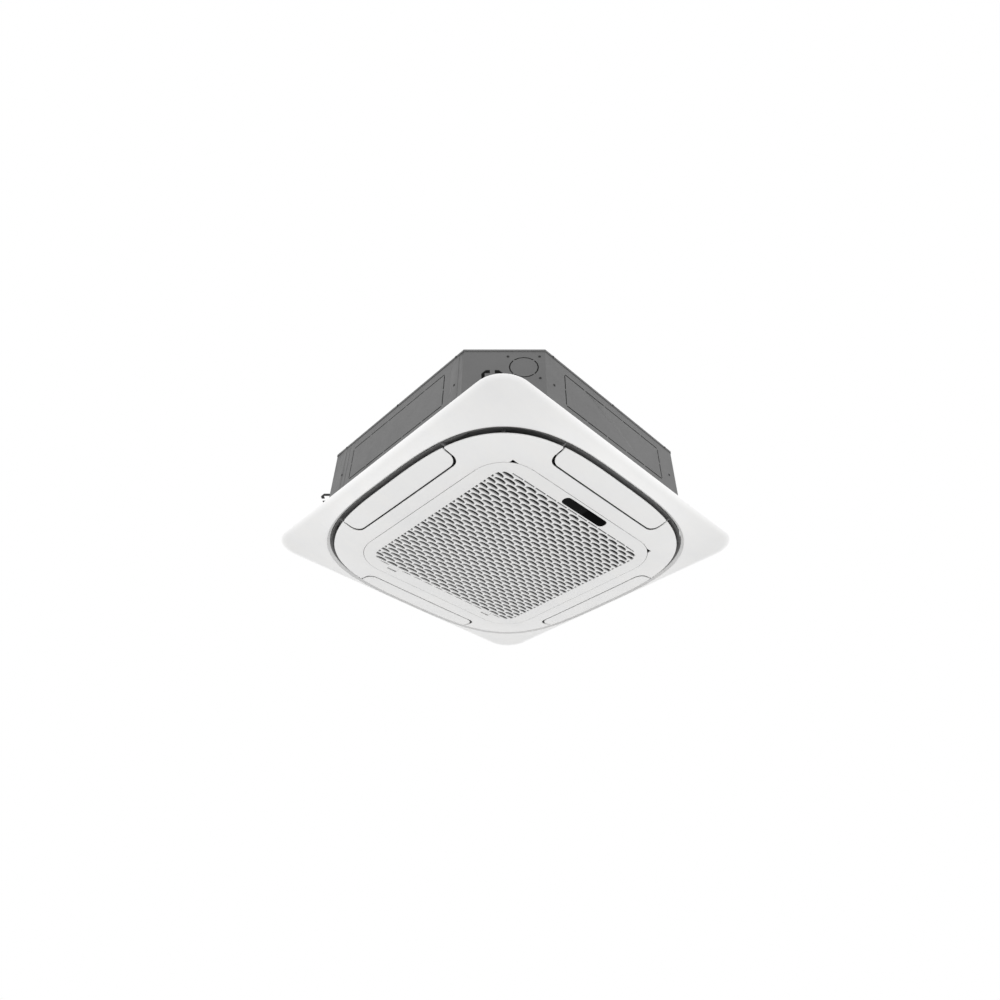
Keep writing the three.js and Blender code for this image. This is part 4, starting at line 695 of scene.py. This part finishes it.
def deck_outline():
    """One quarter: a notch on the +X side from its lower to its upper end, then the rim round the corner."""
    x = rim_x(NOTCH_HALF)
    end = NOTCH_IN + NOTCH_R
    quarter = [(x - 1.2, -NOTCH_HALF)]
    quarter += arc(end, -NOTCH_HALF + NOTCH_R, NOTCH_R, -90, -180)
    quarter += arc(end, NOTCH_HALF - NOTCH_R, NOTCH_R, 180, 90)
    quarter += [(x - 1.2, NOTCH_HALF)]
    a0 = math.atan2(NOTCH_HALF + 0.8, rim_x(NOTCH_HALF + 0.8))
    quarter += rim_arc(a0, math.pi / 2 - a0, 26)
    return along([p for d in (0, 90, 180, 270) for p in spun(quarter, d)], 7)


def swing_cut(points, reach=303.6, end=273.5):
    """The deck's opening, with the two places on its hinge side that the open grille swings through."""
    out = []
    for p, q in zip(points, points[1:] + points[:1]):
        near_p, near_q = abs(p[1]) < end, abs(q[1]) < end
        out.append((max(p[0], reach), p[1]) if p[0] > 280 and near_p and abs(p[1]) > 254 else p)
        if near_p != near_q and p[0] > 280:
            y = math.copysign(end, p[1])
            share = (y - p[1]) / (q[1] - p[1])
            step = [(reach, y), (p[0] + (q[0] - p[0]) * share, y)]
            out += step if near_p else step[::-1]
    return out


bm = bmesh.new()
door_hole = swing_cut(along(plan(soft_square(OPENING, OPENING_R), 160), 7))
sheet(bm, deck_outline(), [door_hole], crown_low, crown_high, fillet=0.9, spacing=11)
piece("deck skin", bm, "unit_body", "white_panel_plastic", ["deck_panel"], angle=42)
# The deck's bosses sit in the ring's shadow: they are drawn in the darker duct frame plastic as painted
# shade.
bm = bmesh.new()
for degrees in (0, 90, 180, 270):
    (x, y), = spun([(BOSS, BOSS)], degrees)
    profile = [(7, crown_high(BOSS, BOSS) - 1), (7, -7.2), (6.4, -6.4), (2.4, -6.4), (2.4, -14), (0.01, -14)]
    lathe(bm, profile, 36, (x, y), closed=False)
piece("deck bosses", bm, "unit_body", "white_panel_plastic", material=FRAME_PLASTIC)


def louver_outline():
    x = rim_x(LOUVER_HALF)
    a = math.atan2(LOUVER_HALF - 0.9, rim_x(LOUVER_HALF - 0.9))
    out = rim_arc(-a, a, 60)
    out += [(x - 1.3, LOUVER_HALF)]
    out += arc(LOUVER_IN + LOUVER_R, LOUVER_HALF - LOUVER_R, LOUVER_R, 90, 180)
    out += arc(LOUVER_IN + LOUVER_R, -LOUVER_HALF + LOUVER_R, LOUVER_R, 180, 270)
    out += [(x - 1.3, -LOUVER_HALF)]
    return along(out, 7)


for number in range(4):
    bm = bmesh.new()
    sheet(bm, louver_outline(), [], crown_low, crown_high, fillet=0.9, spacing=9)
    for side_y in (-1, 1):
        y0, y1 = sorted((side_y * 187, side_y * 190))
        foot = lambda x: crown_low(x, side_y * 188.5) + SKIN / 2
        outline = [(PIVOT_X + x, foot(PIVOT_X + x)) for x in (-10, 10)] + [(PIVOT_X + 5.5, PIVOT_Z)]
        outline += arc(PIVOT_X, PIVOT_Z, 5.5, 15, 165, 10) + [(PIVOT_X - 5.5, PIVOT_Z)]
        near = [bm.verts.new((x, y0, z)) for x, z in outline]
        far = [bm.verts.new((x, y1, z)) for x, z in outline]
        strip(bm, near, far)
        bm.faces.new(near)
        bm.faces.new(far[::-1])
        tube(bm, (PIVOT_X, side_y * 189, PIVOT_Z), (PIVOT_X, side_y * 213.3, PIVOT_Z), 3, 28)
    name = "louver_%d" % (number + 1)
    place = Matrix.Rotation(math.pi / 2 * number, 4, "Z")
    body = "louver_body_%d" % (number + 1)
    piece("blade %d" % (number + 1), bm, body, "white_panel_plastic", [name], 42, place)


# ---- intake grille

field_at = soft_square(FIELD, FIELD_R)


def clipped(points, keep):
    """The part of a convex outline on the kept side of the field, as points on its edge."""
    out = []
    for p, q in zip(points, points[1:] + points[:1]):
        inside_p, inside_q = keep(p) >= 0, keep(q) >= 0
        if inside_p:
            out.append(p)
        if inside_p != inside_q:
            low, high = (p, q) if inside_p else (q, p)
            for _ in range(18):
                middle = ((low[0] + high[0]) / 2, (low[1] + high[1]) / 2)
                if keep(middle) >= 0:
                    low = middle
                else:
                    high = middle
            out.append(low)
    return out


def slot_outline(x, y):
    """A slot, straight on its -X side and bowed on its +X side, in order round it."""
    hx, hy = SLOT_HALF_X, SLOT_HALF_Y
    right = [
        (x + hx - 4.2 * abs(t) ** 2.6, y + t * hy * 0.97)
        for t in (-1, -0.92, -0.8, -0.62, -0.35, 0, 0.35, 0.62, 0.8, 0.92, 1)
    ]
    left = [(x - hx + 0.5, y + hy), (x - hx, y + hy - 0.8), (x - hx, y - hy + 0.8)]
    return [(x - hx + 0.5, y - hy)] + right + left


latch_windows = [
    rectangle(-278.5, side_y * LATCH_Y, 10, LATCH_L / 2 + 0.5, 1.2, 3) for side_y in (-1, 1)
]


def slots():
    out = []
    margin = lambda p: field_at(math.atan2(p[1], p[0])) - 1.0 - math.hypot(*p)
    for column in range(-19, 20):
        for row in range(-7, 8):
            x = column * SLOT_X
            y = (row + (column % 2) / 2) * SLOT_Y
            ring = slot_outline(x, y)
            for window in latch_windows:
                low_x, side_y = -278.5 + 10 + 2.2, (1 if window[0][1] > 0 else -1) * LATCH_Y
                if x - SLOT_HALF_X < low_x and abs(y - side_y) < SLOT_HALF_Y + LATCH_L / 2 + 2.5:
                    ring = clipped(ring, lambda p: p[0] - low_x)
            if len(ring) > 3:
                ring = clipped(ring, margin)
            if len(ring) > 3 and area(ring) > 16:
                tidy = [p for i, p in enumerate(ring) if math.dist(p, ring[i - 1]) > 0.25]
                out.append(tidy)
    return out


window_hole = rectangle(WINDOW_X, WINDOW_Y, WINDOW_W / 2, WINDOW_L / 2, WINDOW_R, 8)
rib_top = -34.8
step_in = plan(soft_square(FIELD + 1.6, FIELD_R + 1.6), 120)
step_out = plan(soft_square(FIELD + 2.1, FIELD_R + 2.1), 120)


def door_high(x, y):
    if x < -262 and abs(abs(y) - LATCH_Y) < 22:
        return DOOR_BACK
    over = math.hypot(x, y) - field_at(math.atan2(y, x))
    return rib_top if over < 1.8 else DOOR_BACK


def grille():
    bm = bmesh.new()
    all_slots = slots()
    outline = along(plan(soft_square(DOOR, DOOR_R), 160), 8)
    sheet(
        bm, outline, all_slots + [window_hole] + latch_windows,
        lambda x, y: FACE, door_high, fillet=0.55, steps=2, spacing=26, extra=step_in + step_out,
    )
    return bm, len(all_slots)


bm, slot_count = grille()
print("slots", slot_count)
# The rim behind the skin, open at the hinge arms, the hinge side's corners and the latches.
rim_outer = plan(soft_square(DOOR, DOOR_R), 320)
rim_inner = plan(soft_square(DOOR - RIM_WALL, DOOR_R - RIM_WALL), 320)


def in_gap(x, y):
    if x > 268 and 232 < abs(y) < 290.4:
        return True
    if x > 302 and abs(abs(y) - HINGE_Y) < 3.2:
        return True
    return x < -302 and abs(abs(y) - LATCH_Y) < 6.8


open_run = [in_gap(*p) or in_gap(*q) for p, q in zip(rim_outer, rim_inner)]
starts = [i for i in range(320) if not open_run[i] and open_run[i - 1]]
for first in starts:
    run = []
    i = first
    while not open_run[i % 320] and len(run) < 320:
        run.append(i % 320)
        i += 1
    if len(run) < 2:
        continue
    section = []
    for i in run:
        (ox, oy), (ix, iy) = rim_outer[i], rim_inner[i]
        mx, my = (ix - ox) / RIM_WALL, (iy - oy) / RIM_WALL
        section.append([
            (ox, oy, FACE + 1), (ox, oy, DOOR_TOP - 0.5), (ox + 0.5 * mx, oy + 0.5 * my, DOOR_TOP),
            (ix - 0.5 * mx, iy - 0.5 * my, DOOR_TOP), (ix, iy, DOOR_TOP - 0.5), (ix, iy, FACE + 1),
        ])
    made = [[bm.verts.new(p) for p in s] for s in section]
    for a, b in zip(made, made[1:]):
        strip(bm, a, b)
    bm.faces.new(made[0])
    bm.faces.new(made[-1][::-1])
for side_y in (-1, 1):
    for flank in (-1, 1):
        y, low = side_y * HINGE_Y + flank * 4.3, DOOR_BACK - 0.5
        block(bm, HINGE_X - HINGE_PLATE, HINGE_X + HINGE_PLATE, y - 1.5, y + 1.5, low, HINGE_Z + 4, 0.5)
    for side_x in (-1, 1):
        x, y = side_x * 279, side_y * 120
        block(bm, x - 2.5, x + 2.5, y - 10, y + 10, low, DOOR_TOP, 0.5)
piece("grille skin", bm, "grille_door", "white_panel_plastic", ["intake_grille"], 42, material=GRILLE_PLASTIC)

bm = bmesh.new()
lens = rectangle(WINDOW_X, WINDOW_Y, WINDOW_W / 2 - 0.3, WINDOW_L / 2 - 0.3, WINDOW_R - 0.3, 12)
sheet(
    bm, along(lens, 6), [], lambda x, y: FACE + 0.15, lambda x, y: DOOR_BACK + 0.3,
    fillet=0.7, steps=4, spacing=8,
)
piece("display lens", bm, "grille_door", "display_gloss", ["display_window"])

for number, side_y in ((1, 1), (2, -1)):
    bm = bmesh.new()
    y = side_y * LATCH_Y
    scoop = lambda x, y_: FACE + 0.1 + 1.9 * min(max((x + LATCH_X + 4.6) / 9.4, 0), 1) ** 0.9
    thumb = along(rectangle(-LATCH_X, y, LATCH_W / 2, LATCH_L / 2, 1, 4), 1.5)
    sheet(bm, thumb, [], scoop, lambda x, y_: -41.2, 0.4, 2, 1.5)
    block(bm, -288.2, -265, y - 19, y + 19, -41.9, -38.9, 0.4)
    block(bm, -311.1, -281, y - 6, y + 6, -41, -38, 0.4)
    for rib in range(-2, 3):
        block(bm, -280, -270, y + rib * 7 - 0.8, y + rib * 7 + 0.8, -38.95, -37.9, 0.3, 1)
    name, body = "latch_%d" % number, "latch_body_%d" % number
    piece("latch %d skin" % number, bm, body, "grey_plastic", [name], material=LATCH_PLASTIC)


# ---- the solids' own shapes with bevelled edges

def dress(name, body, slot_name, width=0.3, segments=2, angle=38, material=None):
    """A copy of a solid with its flat faces joined up again and its edges bevelled."""
    bm = bmesh.new()
    bm.from_mesh(NODES[name].data)
    bmesh.ops.scale(bm, vec=(1000, 1000, 1000), verts=bm.verts)
    bmesh.ops.remove_doubles(bm, verts=bm.verts, dist=0.002)
    bmesh.ops.dissolve_limit(bm, angle_limit=math.radians(0.6), verts=bm.verts, edges=bm.edges)
    if width:
        corner = math.radians(40)
        sharp = [e for e in bm.edges if len(e.link_faces) == 2 and e.calc_face_angle(0) > corner]
        bmesh.ops.bevel(
            bm, geom=sharp, offset=width, segments=segments, affect="EDGES", profile=0.5, clamp_overlap=True,
        )
    return piece(name + "_skin", bm, body, slot_name, [name], angle, None, material)


UNIT = "unit_body"
for wall in ("casing_front", "casing_back", "casing_left", "casing_right"):
    dress(wall, UNIT, "grey_sheet_steel", 0.25, angle=9)
for number in range(1, 5):
    dress("hanger_bracket_%d" % number, UNIT, "black_steel", 0.45, angle=9)
    dress("louver_motor_%d" % number, UNIT, "grey_plastic", 0.6)
    dress("panel_screw_%d" % number, UNIT, "bare_steel", 0.4)
for name, slot_name, width in (
    ("pipe_cover", "grey_sheet_steel", 0.25), ("drain_pump", "grey_plastic", 1.2),
    ("float_switch", "grey_plastic", 0.5),
    ("outlet_seal", "black_foam", 0.8), ("control_box", "bare_steel", 0.25),
    ("control_box_cover", "bare_steel", 0.25), ("control_board", "board_green", 0.3),
    ("terminal_block", "dark_plastic", 0.4), ("coil_end_plate_x", "bare_steel", 0.0),
    ("coil_end_plate_y", "bare_steel", 0.0), ("drain_pan", "white_foam", 1.2),
    ("insulation_liner", "white_foam", 1.5),
):
    dress(name, UNIT, slot_name, width)
dress("duct_frame", UNIT, "dark_plastic", 0.35, material=FRAME_PLASTIC)
for number in (1, 2, 3):
    dress("motor_grommet_%d" % number, UNIT, "grommet_rubber", 1.0)
dress("float", "float_body", "white_foam", 1.0)
dress("display_housing", "grille_door", "dark_plastic", 0.6)

# ---- lid, screws and seams of the casing

def lid_top(x, y):
    """Pressed grooves in the lid: two rings round the motor and spokes outside them."""
    r = math.hypot(x, y)
    dip = 0
    for radius in (120, 215):
        dip = max(dip, 1 - abs(r - radius) / 7)
    if r > 215:
        a = math.atan2(y, x)
        spoke = abs(math.sin(4 * a)) * r / 4
        if r < 372:
            dip = max(dip, 1 - spoke / 7)
    dip = min(max(dip, 0), 1)
    dip = min(2 * dip, 1)
    return TOP - dip * dip * (3 - 2 * dip)


bm = bmesh.new()
rim = along(octagon(0), 8)
sheet(bm, rim, [], lambda x, y: TOP - 1.25, lid_top, fillet=0.2, steps=2, spacing=4, back=0.45)
outer, inner = octagon(0), octagon(SHEET)
half = [level(outer, TOP - 0.6), level(outer, TOP - LID_RIM + 0.3), level(shrink(outer, 0.3), TOP - LID_RIM)]
rest = [level(shrink(inner, -0.3), TOP - LID_RIM), level(inner, TOP - LID_RIM + 0.3), level(inner, TOP - 0.6)]
loft(bm, half + rest)
piece("lid_skin", bm, UNIT, "grey_sheet_steel", ["casing_lid"])

CHAMFER_FACE = (2 * BODY - CHAMFER) / ROOT2 - 1.5
HANGING_FACE = (2 * BODY - CHAMFER_HANGING) / ROOT2 - 1.5


def screw(bm, centre, outward, radius=3.6, height=1.7):
    """A pan-head screw with a cross recess, standing on a face."""
    centre, outward = Vector(centre), Vector(outward).normalized()
    u = outward.orthogonal().normalized()
    v = outward.cross(u)
    shares = ((1, 0.35), (0.9, 0.75), (0.62, 1), (0.34, 1))
    profile = [(radius, -0.2)] + [(radius * r, height * h) for r, h in shares]
    rings = round_bar(centre, outward, u, v, profile, 20)
    cross = []
    for i, (c, s) in enumerate(circle(20)):
        r = 0.34 * radius * (1.0 if i % 5 in (0, 1, 4) else 0.45)
        cross.append(tuple(centre + outward * (height - 0.9) + (u * c + v * s) * r))
    rings.append(cross)
    made = loft(bm, rings, closed=False)
    bm.faces.new(made[-1])
    bm.faces.new(made[0][::-1])


bm = bmesh.new()
wall = BODY - 1.5
for degrees in (0, 90, 180, 270):
    for x, z in ((-243, 149.7), (243, 149.7), (-243, 40), (243, 40)):
        (px, py), (nx, ny) = spun([(x, -wall), (0, -1)], degrees)
        screw(bm, (px, py, z), (nx, ny, 0))
    for x in (-243, 0, 243):
        (px, py), (nx, ny) = spun([(x, -BODY), (0, -1)], degrees)
        screw(bm, (px, py, 254.9), (nx, ny, 0), 2.9)
for degrees, face, spots in (
    (-45, CHAMFER_FACE, ((8.8, 232.5), (88.7, 232.5), (88.7, 152.5), (-46, 118), (-10, 118))),
    (45, CHAMFER_FACE, ((-8.8, 232.5), (-88.7, 232.5), (46, 118), (10, 118))),
    (135, CHAMFER_FACE, ((-46, 118), (-10, 118), (-70, 232), (70, 232))),
    (225, HANGING_FACE, ((46, 118), (10, 118), (-60, 232))),
):
    for u_at, z in spots:
        offset = 3.1 if z == 118 else 0
        (px, py), (nx, ny) = spun([(face + offset, u_at), (1, 0)], degrees)
        screw(bm, (px, py, z), (nx, ny, 0), 3.4 if z != 118 else 4.4)
for side_z in (1, -1):
    for y_at in (-47, 47):
        y_out = y_at + math.copysign(6, y_at)
        (px, py), (nx, ny) = spun([(CHAMFER_FACE + 1.5, y_out), (1, 0)], 135)
        screw(bm, (px, py, 78 + 16 * side_z), (nx, ny, 0), 2.8)
piece("casing_screws", bm, UNIT, "black_steel")

# Dark strips behind the slits of the knock-outs are painted shade that makes the slits read dark.
bm = bmesh.new()
slit_shade_at = BODY - 3.9
for degrees in (90, 270, 0, 180):
    start = len(bm.verts)
    for z0, z1 in ((104, 114), (218, 228)):
        block(bm, -206, 206, -slit_shade_at, -slit_shade_at + 0.5, z0, z1, 0.1, 1)
    for x0, x1 in ((-206, -194), (194, 206)):
        block(bm, x0, x1, -slit_shade_at, -slit_shade_at + 0.5, 114.2, 217.8, 0.1, 1)
    spin_from(bm, start, degrees)
start = len(bm.verts)
block(bm, CHAMFER_FACE - 2.4, CHAMFER_FACE - 1.9, 48.7 - 44, 48.7 + 44, 193 - 44, 193 + 44, 0.1, 1)
spin_from(bm, start, -45)
piece("slit_felt", bm, UNIT, "black_foam", material=SLIT_SHADE)

bm = bmesh.new()
for degrees in (0, 180):
    for x0, x1 in ((227, 255.9), (-232, -222), (-255.9, -240)):
        start = len(bm.verts)
        block(bm, x0, x1, -wall - 0.45, -wall + 0.1, 15, 251.2, 0.2)
        spin_from(bm, start, degrees)
piece("seam_laps", bm, UNIT, "grey_sheet_steel")

# ---- pipes, nuts and drain at the chamfered corner

pipe_face = CHAMFER_FACE
turn_pipes = Matrix.Rotation(math.radians(135), 4, "Z")
HEADER = pipe_face - 62.1
for name, radius, side_y in (("gas_pipe", 7.9, 1), ("liquid_pipe", 4.8, -1)):
    bm = bmesh.new()
    y = side_y * PIPE_SIDE
    tube(bm, (HEADER, y, PIPE_Z), (pipe_face + 46, y, PIPE_Z), radius, 48, 0.5, bore=radius - 1)
    tube(bm, (HEADER, y, 66), (HEADER, y, 222), 9, 40, 2.0)
    tube(bm, (HEADER, y, 214), (HEADER, y, 223.4 - 2), 6, 40, 1.0)
    if side_y > 0:
        reach = [((-HEADER - y) / ROOT2, (HEADER - y) / ROOT2), ((-HEADER - y) / ROOT2, 242.1)]
    else:
        reach = [((-HEADER - y) / ROOT2, (HEADER - y) / ROOT2), (-242.1, (HEADER - y) / ROOT2)]
    (ax, ay), (bx, by) = spun(reach, -135)
    for share in (0.15, 0.5, 0.85):
        z = 66 + 156 * share
        tube(bm, (ax, ay, z), (bx, by, z), 3.5, 24, 0.3)
    piece(name + "_skin", bm, UNIT, "copper_tube", [name], 38, turn_pipes)
for name, radius, side_y in (("gas_flare_nut", 7.9, 1), ("liquid_flare_nut", 4.8, -1)):
    bm = bmesh.new()
    y, end = side_y * PIPE_SIDE, pipe_face + 44.8
    across = radius + 5.5
    rings = []
    for back_by, hexed in ((18, 0), (17.2, 1), (7, 1), (6.2, 0), (6.2, -1), (0, -1)):
        x = end - back_by
        ring = []
        for i in range(48):
            a = 2 * math.pi * i / 48
            part = (a + math.pi / 6) % (math.pi / 3) - math.pi / 6
            flat = across * math.cos(math.pi / 6) / math.cos(part)
            r = {1: min(flat, across * 0.985), 0: min(flat, across * 0.93), -1: radius + 2.6}[hexed]
            ring.append((x, y + r * math.cos(a), PIPE_Z + r * math.sin(a)))
        rings.append(ring)
    for x in (end, end - 18):
        rings.append([(x, y + (radius + 0.3) * c, PIPE_Z + (radius + 0.3) * s) for c, s in circle(48)])
    loft(bm, rings)
    piece(name + "_skin", bm, UNIT, "brass_nut", [name], 30, turn_pipes)
bm = bmesh.new()
pump_at, drain_z = pipe_face - 47.5, 189.9
end = pipe_face + 46
profile = [(pump_at - 13, 0.01), (pump_at - 13, 12), (pump_at - 12, 13), (pipe_face + 14, 13)]
for step in range(3):
    x = pipe_face + 18 + step * 8
    profile += [(x, 12.2), (x + 3, 13), (x + 4, 12.2)]
profile += [(end - 1, 12.4), (end, 11.8), (end, 11), (pump_at, 11), (pump_at, 0.01)]
loft(bm, [[(x, r * c, drain_z + r * s) for c, s in circle(48)] for x, r in profile], closed=False)
tube(bm, (pump_at, 0, 150.3), (pump_at, 0, drain_z), 10, 40, 0.6)
piece("drain_outlet_skin", bm, UNIT, "grey_plastic", ["drain_outlet"], 38, turn_pipes)

# ---- bell mouth, fan and motor

bm = bmesh.new()
quarter = [math.radians(6 * i) for i in range(16)]
neck = 10.2 + 63.8 * 0.7
bell = [(178 + 78 * (1 - math.cos(a)), 10.2 + (neck - 10.2) * (1 - math.sin(a))) for a in quarter]
bell += [(284.4, 10.2), (285, 10.8), (285, 12.6), (284.4, 13.2)]
for a in reversed(quarter):
    bell.append((180.5 + 75.5 * (1 - math.cos(a)), 13.2 + (neck - 13.2) * (1 - math.sin(a))))
bell += [(180.5, 73.2), (179.9, 74), (178.6, 74), (178, 73.4)]
lathe(bm, bell, 128)
piece("bell_skin", bm, UNIT, "dark_plastic", ["bell_mouth"])

bm = bmesh.new()
hub = [(6.3, 146), (14.5, 146), (16, 147.5), (16, 157), (17.5, 159.4), (60, 160.7), (63.5, 161.6)]
hub += [(94, 183.4), (97, 185), (233.6, 185), (235, 186.2), (235, 187.2), (234, 188), (95, 188), (92, 186.6)]
hub += [(61.6, 164.6), (59, 163.5), (6.3, 163.5)]
lathe(bm, hub, 128)
shroud = [(186, 66.6), (187.2, 66), (188.4, 66.6), (189, 72), (191, 77), (195.5, 80.2), (202, 82.4)]
shroud += [(233.6, 93.9), (235, 95.2), (235, 96.2), (234, 97), (201, 85.2), (193, 82.6), (188, 79.6)]
shroud += [(186.4, 75), (186, 72)]
lathe(bm, shroud, 128)
FAN_BLADES, SWEEP = 7, 0.75
for number in range(FAN_BLADES):
    turn_by = 2 * math.pi * number / FAN_BLADES
    grid = []
    for k in range(17):
        share = k / 16
        r = 150 + 83.5 * share
        a = SWEEP * share + turn_by
        foot = max(82.5, 83 + (r - 202) * 0.36)
        half = 1.5 * math.sqrt(max(0.12, 1 - (2 * share - 0.9) ** 2 * 0.7))
        grid.append([
            (r * math.cos(a + s * half / r), r * math.sin(a + s * half / r), z)
            for s, z in ((-1, foot), (1, foot), (1, 186.4), (-1, 186.4))
        ])
    made = [[bm.verts.new(p) for p in ring] for ring in grid]
    for a, b in zip(made, made[1:]):
        strip(bm, a, b)
    bm.faces.new(made[0])
    bm.faces.new(made[-1][::-1])
piece("fan_skin", bm, "fan", "white_fan_plastic", ["fan_rotor"], 34)

bm = bmesh.new()
tube(bm, (0, 0, 136), (0, 0, 202), 6, 40, 0.8)
piece("shaft_skin", bm, "fan", "bare_steel", ["fan_shaft"])
bm = bmesh.new()
rings = []
for z, r in ((145.7, 10.2), (145, 11), (140.6, 11), (139.7, 10.2)):
    ring = []
    for i, (c, s) in enumerate(circle(48, math.pi / 6)):
        flat = 9.53 / math.cos((2 * math.pi * i / 48) % (math.pi / 3) - math.pi / 6)
        ring.append((min(r, flat) * c, min(r, flat) * s, z))
    rings.append(ring)
for z in (139.7, 145.7):
    rings.append([(6.3 * c, 6.3 * s, z) for c, s in circle(48)])
loft(bm, rings)
piece("fan_nut_skin", bm, "fan", "bare_steel", ["fan_nut"], 30)

bm = bmesh.new()
motor = [(6.3, 204), (6.3, 172), (18, 172), (20, 173.2), (60, 173.2), (64, 172.6), (67, 173.4), (70, 176.5)]
motor += [(70, 203), (68.8, 204), (68.8, 206), (70, 207), (70, 236.8), (68.8, 238), (0.01, 238)]
lathe(bm, motor, 96, closed=False)
lathe(bm, [(6.3, 204), (0.01, 204)], 96, closed=False)
for number in range(3):
    a = 2 * math.pi * number / 3
    start = len(bm.verts)
    block(bm, 60, 97, -11, 11, 234, 238, 0.4)
    tube(bm, (96, 0, 234), (96, 0, 238), 12, 36, 0.4)
    screw(bm, (96, 0, 234), (0, 0, -1), 5, 2.4)
    spin_from(bm, start, math.degrees(a))
piece("motor_skin", bm, UNIT, "bare_steel", ["fan_motor"], 34)

# ---- filter and hinge pins

for number, side_y in ((1, 1), (2, -1)):
    bm = bmesh.new()
    y = side_y * HINGE_Y
    tube(bm, (HINGE_X, y - 6.8, HINGE_Z), (HINGE_X, y + 6.8, HINGE_Z), 2, 28, 0.3)
    piece("pin_%d_skin" % number, bm, "grille_door", "bare_steel", ["hinge_pin_%d" % number])
bm = bmesh.new()
sheet(bm, along(rectangle(0, 0, 284, 284, 42, 12), 20), [along(rectangle(0, 0, 274, 274, 32, 12), 20)],
      lambda x, y: -33, lambda x, y: -28, fillet=0.8, steps=3, spacing=60, back=0.6)
for k in range(1, 6):
    at = -274 + k * 548 / 6
    for turned in (False, True):
        start = len(bm.verts)
        block(bm, at - 1.5, at + 1.5, -275, 275, -32 if turned else -32.5, -30.1, 0.5)
        if turned:
            spin_from(bm, start, 90)
piece("filter_frame_skin", bm, "grille_door", "grey_plastic", ["filter"])
bm = bmesh.new()
inside_frame = along(rectangle(0, 0, 274.5, 274.5, 32.5, 12), 20)
sheet(bm, inside_frame, [], lambda x, y: -30.5, lambda x, y: -29.7, 0.1, 1, 60, 0.1)
piece("filter_net", bm, "grille_door", "grey_plastic", material=NET)


# ---- light, floor and camera

scene = bpy.context.scene
scene.view_settings.view_transform = "Standard"
world = bpy.data.worlds.new("studio")
scene.world = world
world.use_nodes = True
sky = world.node_tree
lit = sky.nodes["Background"]
lit.inputs["Color"].default_value = (1, 1, 1, 1)
lit.inputs["Strength"].default_value = 0.98
seen = sky.nodes.new("ShaderNodeBackground")
seen.inputs["Color"].default_value = (1, 1, 1, 1)
seen.inputs["Strength"].default_value = 1.0
rays = sky.nodes.new("ShaderNodeLightPath").outputs
either = sky.nodes.new("ShaderNodeMath")
either.operation = "MAXIMUM"
sky.links.new(rays["Is Camera Ray"], either.inputs[0])
sky.links.new(rays["Is Transmission Ray"], either.inputs[1])
choice = sky.nodes.new("ShaderNodeMixShader")
sky.links.new(either.outputs[0], choice.inputs[0])
sky.links.new(lit.outputs[0], choice.inputs[1])
sky.links.new(seen.outputs[0], choice.inputs[2])
sky.links.new(choice.outputs[0], sky.nodes["World Output"].inputs["Surface"])


def soft_light(name, power, size, place, target=(0, 0, 0)):
    data = bpy.data.lights.new(name, "AREA")
    data.shape = "RECTANGLE"
    data.size, data.size_y = size
    data.energy = power
    lamp = bpy.data.objects.new(name, data)
    scene.collection.objects.link(lamp)
    aim = (Vector(target) - Vector(place)).to_track_quat("-Z", "Y")
    lamp.matrix_world = Matrix.Translation(place) @ aim.to_matrix().to_4x4()
    return lamp


soft_light("light left", 16, (2.6, 0.5), (-0.3, -3.0, 0.06))
soft_light("light right", 16, (2.6, 0.5), (3.0, 0.3, 0.06))

bpy.ops.mesh.primitive_plane_add(size=12, location=(0, 0, -2.4))
floor = bpy.context.object
floor.name = "floor"
floor.data.materials.append(moulded("floor paint", 240, 0.7))

camera_data = bpy.data.cameras.new("camera")
camera = bpy.data.objects.new("camera", camera_data)
scene.collection.objects.link(camera)
azimuth, elevation, roll = (math.radians(a) for a in (44.6747, -38.2038, -0.2555))
back = Vector((
    math.sin(azimuth) * math.cos(elevation),
    -math.cos(azimuth) * math.cos(elevation),
    math.sin(elevation),
))
side = (-back).cross(Vector((0, 0, 1))).normalized()
up = side.cross(-back)
right = side * math.cos(roll) + up * math.sin(roll)
above = -side * math.sin(roll) + up * math.cos(roll)
turn = Matrix((right, above, back)).transposed().to_4x4()
camera.matrix_world = Matrix.Translation((1.19899, -1.16280, -1.16114)) @ turn
camera_data.sensor_width = 36
camera_data.lens = 25.502
camera_data.shift_x = -0.0179
camera_data.shift_y = 0.0008
scene.camera = camera
